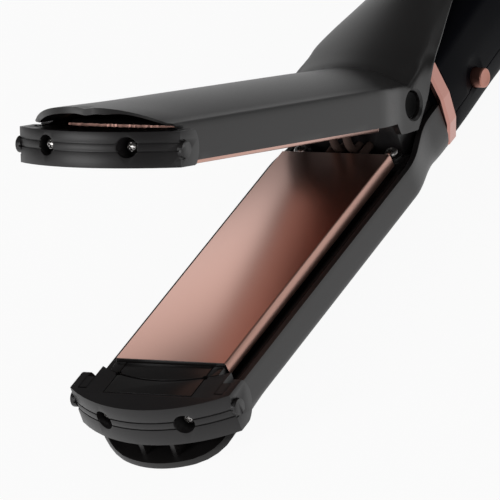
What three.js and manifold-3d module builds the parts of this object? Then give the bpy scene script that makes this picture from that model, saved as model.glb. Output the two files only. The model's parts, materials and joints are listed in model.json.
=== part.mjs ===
// A hair waver: two heated plates in a pair of long tongs, opened by a hooded arm over a faceted handle.
// Lengths are in millimetres. X is across the tongs, Y runs from the tip to the cord end, Z is up.
// The origin lies on the flat strip under the lower tong, straight below the pivot.
import * as THREE from 'three';
import { mergeVertices } from 'three/addons/utils/BufferGeometryUtils.js';
import Module from 'manifold-3d';

const wasm = await Module();
wasm.setup();

// Clearances
const seatGap = 0.3;            // between two pieces that touch on the real product
const runGap = 0.35;            // between pieces that turn or slide on each other

// Tong halves, measured from the closing plane outwards
const openAngle = 29.4;         // jaw angle of the open tongs, degrees
const shellHalfWidth = 24.8;
const shellWall = 1.9;
const lowerRimDrop = 5;         // closing plane to the rim of the lower shell
const upperRimDrop = 2.2;
const lowerWallHeight = 7.9;    // rim to the soft corner
const upperWallHeight = 9.1;
const cornerInset = 1.9;        // soft corner between side wall and crown
const cornerRise = 2.6;
const lowerCrownRise = 6.8;
const upperCrownRise = 4.1;     // at the pivot
const tipCrownGrowth = 1;       // the upper crown is higher by this at the tip
const neckNarrowing = 4.6;       // lower shell where it meets the collar ring
const neckRimDrop = 2.7;
const neckWallHeight = 7.9;
const neckCornerInset = 7;
const neckCornerRise = 9.4;
const lipFromPlate = 23.2;      // front edge of the plate to the tip of the scoop lip
const lipSoftness = 5.2;        // radius of the lip seen from above, over the half width
const lipBlend = 26;            // length over which the underside fills out towards the lip
const lipCornerInset = 12;
const ribSetBack = 4;
const ribPitch = 11;
const ribWidth = 1.7;

// Pivot
const pivotHeight = 7.1;        // above the closing plane
const earNarrowing = 2.8;       // the arm is this much slimmer at its ears
const earRadius = 8;
const notchStart = 10.4;        // where the rim steps down to the ear
const notchEnd = 7.6;
const pinShoulderDiameter = 8;
const pinShankDiameter = 5;
const pinSink = 0.9;            // pin face below the face of the ear
const pinBossDiameter = 12.4;   // inside the ear, round the pin
const pinBevel = 1.6;           // bevelled edge of the pin hole

// Heated plates
const plateLength = 106.7;
const plateWidth = 38;
const plateSkin = 1.9;
const plateSide = 4.1;          // depth of the folded side
const plateSideWall = 1.3;
const plateToPivot = 15.8;      // rear edge of the plate to the pivot
const plateStandoff = 0.2;      // half of the gap between the closed plates
const railDepth = 5.9;
const railWall = 1.4;
const heaterWidth = 15.2;
const heaterThickness = 3;
const heaterFrontMargin = 12;
const heaterRearMargin = 4.2;
const sensorWidth = 4;
const sensorLength = 9;
const sensorThickness = 2.2;

// Plate carriers
const channelWidth = 1.2;       // open channel round the plate
const ledgeDrop = 0.9;          // carrier ledge below the rim
const floorDepth = 9;
const floorThickness = 2;
const endBlockTop = 1.3;        // below the closing plane
const blockToPlate = 0.35;
const gapLineFromPlate = 8.3;   // arc gap on the centre line, ahead of the plate
const tongueHalfWidth = 15.2;
const tongueReach = 14.9;
const tongueThickness = 3;
const gapNotchSide = 1.8;       // square notch where the arc gap meets the tongue
const gapNotchDepth = 1.2;
const capCoreGap = 0.1;         // the cap is slimmer than the carrier by this at each side
const backPlateLift = 1.1;      // underside of the back plate above the carrier's floor
const carrierRear = 8.3;        // rear end of the carrier, ahead of the pivot
const rearWallThickness = 2;
const deckTop = 5.6;
const deckThickness = 2;
const padDiameter = 6.4;        // raised pads under the rear screws
const padHeight = 1.6;
const backPlateThickness = 0.8;
const backPlateHalfWidth = 18.6;
const backPlateReach = 14;      // ahead of the heated plate

// End caps
const capReach = 22.9;          // front edge of the plate to the front of the cap
const capRadius = 46.7;
const capTop = 1.35;
const lowerCapDepth = 14;
const upperCapDepth = 11.8;
const capSkin = 2.8;            // thickness of the ears
const cheekReach = 13.1;
const capEarReach = 12.1;
const earCentreDepth = 6.5;
const capEarRadius = 8.2;
const bossDiameter = 5;
const bossHeight = 1.1;
const grooveDepth = 0.45;
const grooveWidth = 0.5;
const firstGroove = 6.15;
const groovePitch = 2.4;
const screwHoleX = 14;
const screwHoleDiameter = 6.2;
const screwHeadSink = 3.3;

// Screws
const capScrewHead = 3.6;
const screwHeadHeight = 1.7;
const screwShank = 2;
const capScrewLength = 13;
const rearScrewHead = 4.2;
const rearScrewX = 16.2;
const rearScrewFromPivot = 10.8;
const rearBossDiameter = 4.6;
const rearScrewLength = 9;
const crossSlot = 0.6;

// Hood, measured in the direction of the handle when the jaws are open
const hoodLength = 63;

// Collar ring and handle
const ringFront = 14.2;
const ringRear = 19.6;
const ringProud = 0.5;
const ringWall = 2.8;
const handleWall = 2.4;
const handleRear = 152;
const rearRound = 3;            // rounding of the handle's end
const seamDrop = 16.6;          // parting line of the handle below the pivot
const handleWiderThanNeck = 1.2;
const swellHeight = 0.6;
const swellAt = 58;
const waistScale = 0.91;        // width of the handle at its swell, over its width at the ring
const rearWidthScale = 0.7;
const rearHeightScale = 0.8;

// Power button
const buttonFromPivot = 36.8;
const buttonDrop = 15.3;
const buttonDiameter = 6.1;
const buttonProud = 3;
const buttonTravel = 0.8;
const buttonFlange = 8.6;
const dishDiameter = 11.6;
const dishDepth = 1.1;

// Hinge block, spring and leads
const blockSlimming = 2.8;      // half width of the hinge block below that of the neck
const blockRadius = 6.6;
const blockShoulder = 4.8;      // radius of the knuckle at its ends
const blockTaper = 4.4;         // length of the knuckle's tapered ends
const springSlotHalf = 7;
const springRadius = 3.3;
const springWire = 1.2;
const springTurns = 6;
const springLeg = 8;
const springClearance = 0.4;    // beside the last turn, and round the core inside the turns
const hookLength = 3.2;         // block in the arm that the spring's second leg bears on
const leadDiameter = 2.6;
const upperLeadX = 2.5;
const lowerLeadX = 5.9;
const leadDepth = 3.9;

// Circuit board and cord bush
const boardX = 6.4;
const boardThickness = 1.6;
const boardFront = 26;
const boardLength = 62;
const boardBottom = 5.5;
const boardHeight = 21;
const switchSide = 6;
const switchHeight = 3.6;
const plungerDiameter = 3.4;
const plungerReach = 1.4;
const cradleWidth = 2;
const cradleGrip = 2.6;         // depth of the board in its cradle
const cradleSide = 3;
const bushBore = 7;
const bushNeck = 13;
const bushFlange = 17.5;
const bushOut = 9;

// Handle screws
const handleScrewYs = [46, 128];
const handleScrewHead = 5;
const handleBoss = 7;
const handleScrewSink = 4;

const far = 200;                // reaches past the whole object
const closeZ = lowerRimDrop + lowerWallHeight + cornerRise + lowerCrownRise;
const pivotZ = closeZ + pivotHeight;
const armCrown = upperRimDrop + upperWallHeight + cornerRise + upperCrownRise - pivotHeight;
const neckHalfWidth = shellHalfWidth - neckNarrowing;
const earHalfWidth = shellHalfWidth - earNarrowing;
const blockHalfWidth = neckHalfWidth - blockSlimming;
const capHalfWidth = shellHalfWidth + seatGap + capSkin;
const plateRearY = -plateToPivot;
const plateFrontY = plateRearY - plateLength;
const lipReach = lipFromPlate - plateFrontY;
const lipRadius = shellHalfWidth + lipSoftness;
const capFront = capReach - plateFrontY;
const capCheekEnd = cheekReach - plateFrontY;
const earCentreY = capEarReach - plateFrontY;
const capScrewDepth = firstGroove + groovePitch / 2;
const capScrewFaceY = -capFront + capRadius - Math.sqrt(capRadius ** 2 - screwHoleX ** 2);
const capScrewHeadY = capScrewFaceY + screwHeadSink;
const capScrewTipY = capScrewHeadY + screwHeadHeight + capScrewLength;
const radians = THREE.MathUtils.degToRad;

// Solid tools

function mergedPositions(geometry) {
  const bare = geometry.index ? geometry.toNonIndexed() : geometry.clone();
  bare.deleteAttribute('normal');
  bare.deleteAttribute('uv');
  return mergeVertices(bare, 1e-4);
}

function solidOf(geometry) {
  const merged = mergedPositions(geometry);
  return new wasm.Manifold(new wasm.Mesh({
    numProp: 3,
    vertProperties: new Float32Array(merged.attributes.position.array),
    triVerts: new Uint32Array(merged.index.array),
  }));
}

function geometryOf(solid) {
  const mesh = solid.getMesh();
  const geometry = new THREE.BufferGeometry();
  const positions = new Float32Array(mesh.numVert * 3);
  for (let i = 0; i < mesh.numVert; i++) {
    for (let k = 0; k < 3; k++) {
      positions[3 * i + k] = mesh.vertProperties[mesh.numProp * i + k];
    }
  }
  geometry.setAttribute('position', new THREE.BufferAttribute(positions, 3));
  geometry.setIndex(new THREE.BufferAttribute(new Uint32Array(mesh.triVerts), 1));
  geometry.computeVertexNormals();
  return geometry;
}

function join(first, ...others) {
  return others.reduce((sum, other) => sum.add(other), first);
}

function cut(first, ...others) {
  return others.reduce((rest, other) => rest.subtract(other), first);
}

// A box between two values on each axis, in any order.
function block(x, y, z) {
  const size = [x, y, z].map(([a, b]) => Math.abs(b - a));
  const middle = [x, y, z].map(([a, b]) => (a + b) / 2);
  return solidOf(new THREE.BoxGeometry(...size).translate(...middle));
}

// A round bar along one axis, from one value to another on it.
function bar(axis, diameter, from, to, centre, sides = 24) {
  const geometry = new THREE.CylinderGeometry(diameter / 2, diameter / 2, Math.abs(to - from), sides);
  if (axis === 'x') {
    geometry.rotateZ(Math.PI / 2);
  }
  if (axis === 'z') {
    geometry.rotateX(Math.PI / 2);
  }
  const place = { x: centre[0], y: centre[1], z: centre[2] };
  place[axis] = (from + to) / 2;
  return solidOf(geometry.translate(place.x, place.y, place.z));
}

// An outline in the XZ plane run along Y, in YZ along X, or in XY along Z.
function prism(axis, outline, from, to) {
  const shape = new THREE.Shape(outline.map(([a, b]) => new THREE.Vector2(a, b)));
  const low = Math.min(from, to);
  const high = Math.max(from, to);
  const geometry = new THREE.ExtrudeGeometry(shape, { depth: high - low, bevelEnabled: false });
  const matrix = new THREE.Matrix4();
  if (axis === 'y') {
    matrix.set(1, 0, 0, 0, 0, 0, -1, high, 0, 1, 0, 0, 0, 0, 0, 1);
  } else if (axis === 'x') {
    matrix.set(0, 0, 1, low, 1, 0, 0, 0, 0, 1, 0, 0, 0, 0, 0, 1);
  } else {
    matrix.makeTranslation(0, 0, low);
  }
  return solidOf(geometry.applyMatrix4(matrix));
}

// A skin over closed rings of points, closed at both ends. Each ring is
// { flat: [[a, b]...], points: [[x, y, z]...] }, with the same outline seen flat and in place.
function loft(rings) {
  const count = rings[0].points.length;
  const positions = rings.flatMap((ring) => ring.points.flat());
  const triangles = [];
  for (let r = 0; r + 1 < rings.length; r++) {
    for (let i = 0; i < count; i++) {
      const a = r * count + i;
      const b = r * count + ((i + 1) % count);
      triangles.push([a, b, b + count], [a, b + count, a + count]);
    }
  }
  closeEnd(rings[0], 0, false);
  closeEnd(rings.at(-1), (rings.length - 1) * count, true);
  return closedSolid(positions, triangles);

  // A lid whose triangles run with the ring, or against it.
  function closeEnd(ring, offset, withRing) {
    const contour = ring.flat.map(([a, b]) => new THREE.Vector2(a, b));
    const ringTurn = THREE.ShapeUtils.area(contour) > 0;
    for (const [a, b, c] of THREE.ShapeUtils.triangulateShape(contour, [])) {
      const turn = THREE.ShapeUtils.area([contour[a], contour[b], contour[c]]) > 0;
      const keep = (turn === ringTurn) === withRing;
      triangles.push(keep ? [a + offset, b + offset, c + offset] : [a + offset, c + offset, b + offset]);
    }
  }
}

function volumeOf(positions, triangles) {
  const at = (i) => new THREE.Vector3(positions[3 * i], positions[3 * i + 1], positions[3 * i + 2]);
  return triangles.reduce((sum, [a, b, c]) => sum + at(a).dot(at(b).clone().cross(at(c))) / 6, 0);
}

function closedSolid(positions, triangles) {
  const outward = volumeOf(positions, triangles) > 0;
  const winding = outward ? triangles : triangles.map(([a, b, c]) => [a, c, b]);
  const geometry = new THREE.BufferGeometry();
  geometry.setAttribute('position', new THREE.BufferAttribute(new Float32Array(positions), 3));
  geometry.setIndex(winding.flat());
  return solidOf(geometry);
}

// A turned solid: points [radius, distance] from axis to axis, turned about a line along x, y or z.
function turned(axis, profile, centre, sides = 24) {
  const geometry = new THREE.LatheGeometry(profile.map(([r, t]) => new THREE.Vector2(r, t)), sides);
  if (axis === 'x') {
    geometry.rotateZ(-Math.PI / 2);
  }
  if (axis === 'z') {
    geometry.rotateX(Math.PI / 2);
  }
  geometry.translate(...centre);
  const merged = mergedPositions(geometry);
  const index = merged.index.array;
  const triangles = [];
  for (let i = 0; i < index.length; i += 3) {
    const [a, b, c] = [index[i], index[i + 1], index[i + 2]];
    if (a !== b && b !== c && c !== a) {
      triangles.push([a, b, c]);
    }
  }
  return closedSolid(Array.from(merged.attributes.position.array), triangles);
}

// A round tube through points in space, square at both ends, with no twist between its rings.
function tube(points, diameter, sides) {
  const path = points.map((p) => new THREE.Vector3(...p));
  const heading = path.map((p, i) => {
    const before = path[Math.max(i - 1, 0)];
    const after = path[Math.min(i + 1, path.length - 1)];
    return after.clone().sub(before).normalize();
  });
  let across = new THREE.Vector3(0.2, 1, 0.1).cross(heading[0]).normalize();
  const rings = path.map((p, i) => {
    across = across.clone().sub(heading[i].clone().multiplyScalar(across.dot(heading[i]))).normalize();
    const other = heading[i].clone().cross(across);
    const flat = [];
    const ring = [];
    for (let k = 0; k < sides; k++) {
      const turn = (2 * Math.PI * k) / sides;
      const [a, b] = [Math.cos(turn) * diameter / 2, Math.sin(turn) * diameter / 2];
      flat.push([a, b]);
      ring.push(p.clone().addScaledVector(across, a).addScaledVector(other, b).toArray());
    }
    return { flat, points: ring };
  });
  return loft(rings);
}

function mix(a, b, t) {
  return a + (b - a) * t;
}

function ease(value, from, to) {
  return THREE.MathUtils.smoothstep(value, from, to);
}

// Straight runs between named stations: value at y from pairs [y, value].
function along(y, pairs) {
  for (let i = 1; i < pairs.length; i++) {
    const [y0, v0] = pairs[i - 1];
    const [y1, v1] = pairs[i];
    if (y <= y1) {
      return mix(v0, v1, Math.max(0, (y - y0) / (y1 - y0)));
    }
  }
  return pairs.at(-1)[1];
}

// Channel sections: a rim, a straight side wall, a soft corner and a crowned back

const crownSteps = 9;
const cornerSteps = 3;

// Part of the crown arc's height that is lost at a distance x from the middle.
function crownSag(half, rise, x) {
  const radius = (half * half + rise * rise) / (2 * rise);
  return radius - Math.sqrt(radius * radius - x * x);
}

// The outline of the back from one rim to the other. The depth grows away from the rim: the side wall
// ends at side, the corner ends at ridge, inset from the side, and softness bows the corner outwards.
function backOutline({ half, rim, side, inset, ridge, crown, softness }) {
  const flank = half - inset;
  const right = [[half, rim]];
  const bend = [half - inset * 0.5 * (1 - softness), mix((side + ridge) / 2, ridge, softness)];
  for (let i = 0; i <= cornerSteps; i++) {
    const t = i / cornerSteps;
    const blend = [(1 - t) * (1 - t), 2 * t * (1 - t), t * t];
    right.push([
      blend[0] * half + blend[1] * bend[0] + blend[2] * flank,
      blend[0] * side + blend[1] * bend[1] + blend[2] * ridge,
    ]);
  }
  for (let i = 1; i <= (crownSteps - 1) / 2; i++) {
    const x = flank * (1 - (2 * i) / crownSteps);
    right.push([x, crown - crownSag(flank, crown - ridge, x)]);
  }
  // The strip across the middle is flat, so the two middle points share the full crown.
  right.at(-1)[1] = crown;
  const left = right.map(([x, depth]) => [-x, depth]).reverse();
  return [...right, ...left];
}

function insideOf(section, wall) {
  return {
    ...section,
    half: section.half - wall,
    side: section.side - wall * 0.25,
    inset: Math.max(section.inset - wall * 0.4, 0.6),
    ridge: section.ridge - wall * 0.9,
    crown: section.crown - wall,
  };
}

function channelOutline(section, wall) {
  return [...backOutline(section), ...backOutline(insideOf(section, wall)).reverse()];
}

// Lower tong: the sections stand square to Y, and the depth runs down from the closing plane.

function lowerSection(y) {
  const neck = ease(y, -12, 12);
  const lip = 1 - ease(y, -lipReach + 5, -lipReach + 5 + lipBlend);
  const side = mix(lowerRimDrop + lowerWallHeight, neckRimDrop + neckWallHeight, neck);
  return {
    half: mix(shellHalfWidth, neckHalfWidth, ease(y, -17, 6)),
    rim: mix(lowerRimDrop, neckRimDrop, ease(y, -10, 10)),
    side,
    inset: mix(mix(cornerInset, neckCornerInset, neck), lipCornerInset, lip),
    ridge: mix(side + mix(cornerRise, neckCornerRise, neck), closeZ - 0.3, lip),
    crown: closeZ,
    softness: mix(1, 0.8, lip),
  };
}

function lowerRing(y, outline) {
  return { flat: outline, points: outline.map(([x, depth]) => [x, y, closeZ - depth]) };
}

const lipStations = [-3, 5, 11.5, 18, 24.5, 31].map((t) => t - lipReach);
const lowerStations = [...lipStations, -17, -13, -9, -5, -1, 3, 7, 10.5, ringFront - seatGap];

// The room inside the lower tong, smaller all round by a gap and open above the rim.
function lowerRoom(gap) {
  const rings = lowerStations.map((y) => {
    const inside = insideOf(lowerSection(y), shellWall + gap);
    return lowerRing(y, backOutline({ ...inside, rim: -pivotHeight - blockRadius - 2 }));
  });
  return loft(rings);
}

// Upper arm: the sections fan about the pivot, from square to the arm to square to the hood.

function upperSection(s) {
  const side = mix(upperRimDrop + upperWallHeight - pivotHeight, 3.7, ease(s, -30, -4));
  return {
    half: mix(shellHalfWidth, earHalfWidth, ease(s, -22, -6)),
    rim: along(s, [[-notchStart, upperRimDrop - pivotHeight], [-notchEnd, -earRadius - 0.3]]),
    side,
    inset: cornerInset,
    ridge: side + cornerRise,
    crown: armCrown - tipCrownGrowth * s / lipReach,
    softness: 1,
  };
}

// The hood behind the pivot, in the direction of the handle: rows of the share of its length, the half
// width over that of the ears, and the heights of lower edge, ridge and crown over the arm's crown.
const hoodStations = [
  [0.07, 0, -15.3, -4.3, 0.3],
  [0.13, 0, -13.1, -4, 0.6],
  [0.19, 0.2, -9.5, -3.5, 1],
  [0.27, 0.2, -5.8, -2.8, 1.5],
  [0.4, -1.7, -4.7, -1.9, 2.2],
  [0.54, -4.1, -3.8, -1.4, 2.7],
  [0.68, -6.5, -3.1, -1.1, 2.8],
  [0.81, -8.8, -2.6, -0.8, 2.5],
  [0.9, -10.9, -2.1, -0.5, 1.9],
  [0.97, -13.2, -1.7, -0.4, 1.2],
  [1, -15.6, -1.3, -0.3, 0.6],
];
const hoodEdgeInset = 2.7;      // the hood's side is a slanted band, this much wider at its lower edge

function fanRing(angle, s, outline) {
  const [c, n] = [Math.cos(radians(angle)), Math.sin(radians(angle))];
  return {
    flat: outline,
    points: outline.map(([x, r]) => [x, s * c - r * n, pivotZ + s * n + r * c]),
  };
}

const armStations = [-lipReach - 3, -30, -22, -18, -14, -notchStart, -notchEnd, -4.5];

function upperRings(outlineOf) {
  const rings = armStations.map((s) => fanRing(0, s, outlineOf(upperSection(s))));
  const fold = { ...upperSection(-4.5), rim: -earRadius, crown: armCrown / Math.cos(radians(openAngle / 2)) };
  rings.push(fanRing(openAngle / 2, 0, outlineOf(fold)));
  for (const [share, wider, rim, ridge, crown] of hoodStations) {
    const slant = ease(share, 0.1, 0.27);
    rings.push(fanRing(openAngle, share * hoodLength, outlineOf({
      half: earHalfWidth + wider,
      rim: armCrown + rim,
      side: armCrown + mix(ridge - cornerRise, rim + 0.4, slant),
      inset: mix(cornerInset, hoodEdgeInset, slant),
      ridge: armCrown + ridge,
      crown: armCrown + crown,
      softness: mix(1, 0.3, slant),
    })));
  }
  return rings;
}

// Parts that both tongs share, each with the depth from the closing plane turned to its own side

const lower = {
  sign: -1,
  rimDrop: lowerRimDrop,
  capDepth: lowerCapDepth,
  section: lowerSection,
  stations: lowerStations,
};
const upper = {
  sign: 1,
  rimDrop: upperRimDrop,
  capDepth: upperCapDepth,
  section: upperSection,
  stations: armStations,
};

function zAt(half, depth) {
  return closeZ + half.sign * depth;
}

function depthRange(half, from, to) {
  return [zAt(half, from), zAt(half, to)];
}

// Points of an arc that bows towards the tip, from one side to the other.
function tipArc(front, radius, halfWidth, steps = 16) {
  const centreY = -front + radius;
  const points = [];
  for (let i = 0; i <= steps; i++) {
    const x = mix(-halfWidth, halfWidth, i / steps);
    points.push([x, centreY - Math.sqrt(radius * radius - x * x)]);
  }
  return points;
}

// Everything between such an arc and the pivot.
function behindArc(front, halfWidth, depths) {
  return prism('z', [...tipArc(front, capRadius, halfWidth), [halfWidth, 0], [-halfWidth, 0]], ...depths);
}

// Square notches where the arc gap meets the sides of the tongue.
function gapNotches(half) {
  const arc = (x) => capRadius - Math.sqrt(capRadius ** 2 - x ** 2) - gapLineFromPlate + plateFrontY;
  return [-tongueHalfWidth, tongueHalfWidth].map((x) => block(
    [x - gapNotchSide / 2, x + gapNotchSide / 2], [arc(x) - gapNotchSide / 2, arc(x) + gapNotchSide / 2],
    depthRange(half, -1, endBlockTop + gapNotchDepth),
  ));
}

function heatedPlate(half) {
  const edge = plateWidth / 2;
  const top = plateStandoff;
  const skin = top + plateSkin;
  const inner = edge - plateSideWall;
  const railIn = heaterWidth / 2 + seatGap;
  const railOut = railIn + railWall;
  const side = [
    [edge - 0.5, top], [edge, top + 0.5], [edge, top + plateSide], [inner, top + plateSide],
    [inner, skin], [railOut, skin], [railOut, railDepth], [railIn, railDepth], [railIn, skin],
  ];
  const mirrored = side.map(([x, depth]) => [-x, depth]).reverse();
  const outline = [...side, ...mirrored].map(([x, depth]) => [x, zAt(half, depth)]);
  return prism('y', outline, plateFrontY, plateRearY);
}

function heaterBar(half) {
  const edge = heaterWidth / 2;
  const top = plateStandoff + plateSkin + seatGap;
  const bottom = top + heaterThickness;
  const bevel = 0.5;
  const side = [[edge - bevel, top], [edge, top + bevel], [edge, bottom - bevel], [edge - bevel, bottom]];
  const outline = [...side, ...side.map(([x, depth]) => [-x, depth]).reverse()];
  return prism('y', outline.map(([x, depth]) => [x, zAt(half, depth)]),
    plateFrontY + heaterFrontMargin, plateRearY - heaterRearMargin);
}

function temperatureSensor(half) {
  const top = plateStandoff + plateSkin + seatGap;
  const x = heaterWidth / 2 + seatGap + railWall + seatGap;
  const middle = (plateFrontY + plateRearY) / 2;
  return block([x, x + sensorWidth], [middle - sensorLength / 2, middle + sensorLength / 2],
    depthRange(half, top, top + sensorThickness));
}

function plateCarrier(half) {
  const outer = shellHalfWidth - shellWall - seatGap;
  const channel = plateWidth / 2 + channelWidth;
  const ledge = half.rimDrop + ledgeDrop;
  const bottom = floorDepth + floorThickness;
  const trayFront = plateFrontY - blockToPlate;
  const wallFront = plateRearY + blockToPlate;
  const wallRear = wallFront + rearWallThickness;
  const side = [[outer, bottom], [outer, ledge], [channel, ledge], [channel, floorDepth]];
  const outline = [...side, ...side.map(([x, depth]) => [-x, depth]).reverse()];
  const arcFront = gapLineFromPlate - plateFrontY - seatGap / 2;
  const tray = prism('y', outline.map(([x, depth]) => [x, zAt(half, depth)]), -arcFront - 1, wallRear);
  const endBlock = block([-plateWidth / 2, plateWidth / 2], [-arcFront - 1, trayFront],
    depthRange(half, endBlockTop, bottom));
  const rounded = join(tray, endBlock).intersect(behindArc(arcFront, outer, depthRange(half, 0, bottom + 1)));
  const tongue = block([-tongueHalfWidth, tongueHalfWidth], [plateFrontY - tongueReach, trayFront - 2],
    depthRange(half, endBlockTop, endBlockTop + tongueThickness));

  const rearWall = block([-channel, channel], [wallFront, wallRear], depthRange(half, ledge, bottom));
  const deck = block([-outer, outer], [wallRear - 0.5, -carrierRear],
    depthRange(half, deckTop, deckTop + deckThickness));
  const pads = [-rearScrewX, rearScrewX].map((x) => bar('z', padDiameter,
    zAt(half, deckTop - padHeight), zAt(half, deckTop + 0.5), [x, -rearScrewFromPivot, 0], 20));
  const leadNotch = block([-heaterWidth / 2, heaterWidth / 2], [wallFront - 1, wallRear + 1],
    depthRange(half, 0, deckTop));
  const railX = heaterWidth / 2 + seatGap + railWall / 2;
  const ribs = [-railX, railX].map((x) => block([x - railWall / 2, x + railWall / 2],
    [plateFrontY + 1, plateRearY - 1], depthRange(half, railDepth + seatGap, floorDepth + 0.5)));

  // The plan narrows with the shell towards the pivot.
  const plan = [];
  const narrowing = half.stations.filter((y) => y > -30 && y <= -5).map((y) => [y, half.section(y).half]);
  const bends = narrowing.map(([at]) => at).filter((at) => at < -carrierRear).reverse();
  for (const y of [-carrierRear, ...bends]) {
    plan.push([along(y, narrowing) - shellWall - seatGap, y]);
  }
  plan.push([outer, -far]);
  const planOutline = [...plan, ...plan.map(([x, y]) => [-x, y]).reverse()];
  const envelope = prism('z', planOutline, zAt(half, -5), zAt(half, 30));

  const whole = join(rounded, tongue, rearWall, deck, ...pads, ...ribs).intersect(envelope);
  const capBores = [-screwHoleX, screwHoleX].map((x) => bar('y', screwShank + 2 * seatGap,
    plateFrontY - gapLineFromPlate - 2, capScrewTipY + seatGap, [x, 0, zAt(half, capScrewDepth)], 12));
  const rearBores = [-rearScrewX, rearScrewX].map((x) => bar('z', screwShank + 2 * seatGap,
    zAt(half, deckTop - padHeight - 1), zAt(half, deckTop + deckThickness + 1),
    [x, -rearScrewFromPivot, 0], 12));
  return cut(whole, leadNotch, ...gapNotches(half), ...capBores, ...rearBores);
}

// The room that the end cap needs ahead of the carrier, larger all round by a gap.
function capRoom(half, gap) {
  const front = block([-far, far], [-far, -capCheekEnd + gap], depthRange(half, -10, half.capDepth + gap));
  const inner = shellHalfWidth - shellWall - seatGap - capCoreGap + gap;
  const core = block([-inner, inner], [-capCheekEnd, plateFrontY - blockToPlate],
    depthRange(half, -10, half.capDepth + gap));
  return join(front, core);
}

function endCap(half) {
  const inner = shellHalfWidth - shellWall - seatGap - capCoreGap;
  const depths = depthRange(half, capTop, half.capDepth);
  const rearFront = -plateFrontY + gapLineFromPlate + seatGap / 2;
  const coreFront = -capCheekEnd - 1;
  const core = cut(block([-inner, inner], [coreFront, plateFrontY], depths),
    behindArc(rearFront, inner + 1, depthRange(half, -1, far)));
  const cheeks = cut(behindArc(capFront, capHalfWidth, depths),
    block([-far, far], [-capCheekEnd, far], depthRange(half, -1, far)));

  const earOutline = [];
  const earSteps = 20;
  for (let i = 0; i <= earSteps; i++) {
    const turn = mix(-Math.PI / 2, Math.PI / 2, i / earSteps);
    const round = earCentreDepth + capEarRadius * Math.sin(turn);
    const depth = THREE.MathUtils.clamp(round, capTop, half.capDepth);
    earOutline.push([-earCentreY + capEarRadius * Math.cos(turn), zAt(half, depth)]);
  }
  const earFront = -capCheekEnd - 0.4;
  earOutline.push([earFront, zAt(half, half.capDepth)], [earFront, zAt(half, capTop)]);
  const distinct = earOutline.filter(([y, z], i) => {
    const [py, pz] = earOutline[(i + earOutline.length - 1) % earOutline.length];
    return Math.hypot(y - py, z - pz) > 0.02;
  });
  const ears = [-1, 1].flatMap((side) => [
    prism('x', distinct, side * (capHalfWidth - capSkin), side * capHalfWidth),
    bar('x', bossDiameter, side * (capHalfWidth - 0.6), side * (capHalfWidth + bossHeight),
      [0, -earCentreY, zAt(half, earCentreDepth)]),
  ]);
  const tonguePocket = block([-tongueHalfWidth - seatGap, tongueHalfWidth + seatGap],
    [plateFrontY - tongueReach - seatGap, plateFrontY],
    depthRange(half, -2, endBlockTop + tongueThickness + seatGap));

  const grooves = [0, 1].map((i) => {
    const depth = firstGroove + i * groovePitch;
    const face = tipArc(capFront, capRadius, capHalfWidth);
    const floor = face.map(([x, y]) => [x, y + grooveDepth]).reverse();
    const band = [...face.map(([x, y]) => [x, y - 1]), ...floor];
    return prism('z', band, zAt(half, depth - grooveWidth / 2), zAt(half, depth + grooveWidth / 2));
  });
  const holes = [-screwHoleX, screwHoleX].flatMap((x) => [
    bar('y', screwHoleDiameter, -far, capScrewHeadY + screwHeadHeight + seatGap,
      [x, 0, zAt(half, capScrewDepth)]),
    bar('y', screwShank + 2 * seatGap, -capFront, plateFrontY, [x, 0, zAt(half, capScrewDepth)], 12),
  ]);
  return cut(join(core, cheeks, ...ears), tonguePocket, ...gapNotches(half), ...grooves, ...holes);
}

// A pan-head screw with a cross recess: the head starts at one value on its axis and faces back along it.
function screw(axis, start, direction, headDiameter, length, centre) {
  const seat = start + direction * screwHeadHeight;
  const place = (value) => {
    const p = [...centre];
    p['xyz'.indexOf(axis)] = value;
    return p;
  };
  const rim = headDiameter / 2;
  const head = turned(axis, [[0, 0], [rim * 0.55, 0], [rim, screwHeadHeight * 0.5], [rim, screwHeadHeight],
    [0, screwHeadHeight]].map(([r, t]) => [r, direction * t]), place(start), 14);
  const shank = bar(axis, screwShank, seat - direction * 0.4, seat + direction * length, centre, 8);
  const others = ['x', 'y', 'z'].filter((name) => name !== axis);
  const arms = others.map((name) => {
    const range = Object.fromEntries(['x', 'y', 'z'].map((key) => [key, crossSlot / 2]));
    range[name] = rim * 0.62;
    const spans = ['x', 'y', 'z'].map((key, i) => (key === axis
      ? [start - direction, start + direction * screwHeadHeight * 0.55]
      : [centre[i] - range[key], centre[i] + range[key]]));
    return block(...spans);
  });
  return cut(join(head, shank), ...arms);
}

function capScrew(half, side) {
  return screw('y', capScrewHeadY, 1, capScrewHead, capScrewLength,
    [side * screwHoleX, 0, zAt(half, capScrewDepth)]);
}

function rearScrew(half, side) {
  const seat = deckTop - padHeight - seatGap;
  return screw('z', zAt(half, seat - screwHeadHeight), half.sign, rearScrewHead, rearScrewLength,
    [side * rearScrewX, -rearScrewFromPivot, 0]);
}

function rearBosses(half, outer) {
  return [-1, 1].map((side) => {
    const centre = [side * rearScrewX, -rearScrewFromPivot, 0];
    const from = deckTop + deckThickness + seatGap;
    const post = bar('z', rearBossDiameter, zAt(half, from), zAt(half, from + 20), centre);
    return post.intersect(outer);
  });
}

function rearBossBores(half) {
  const end = deckTop + rearScrewLength + seatGap + 0.2;
  return [-1, 1].map((side) => bar('z', screwShank + 2 * seatGap, zAt(half, deckTop), zAt(half, end),
    [side * rearScrewX, -rearScrewFromPivot, 0], 12));
}

// Everything ahead of the rounded lip, seen from above.
function lipTrim() {
  const axisY = -lipReach + lipRadius;
  const slab = block([-far, far], [-far, axisY], [-far / 2, far / 2]);
  return cut(slab, bar('z', 2 * lipRadius, -far, far, [0, axisY, 0], 96));
}

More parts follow.
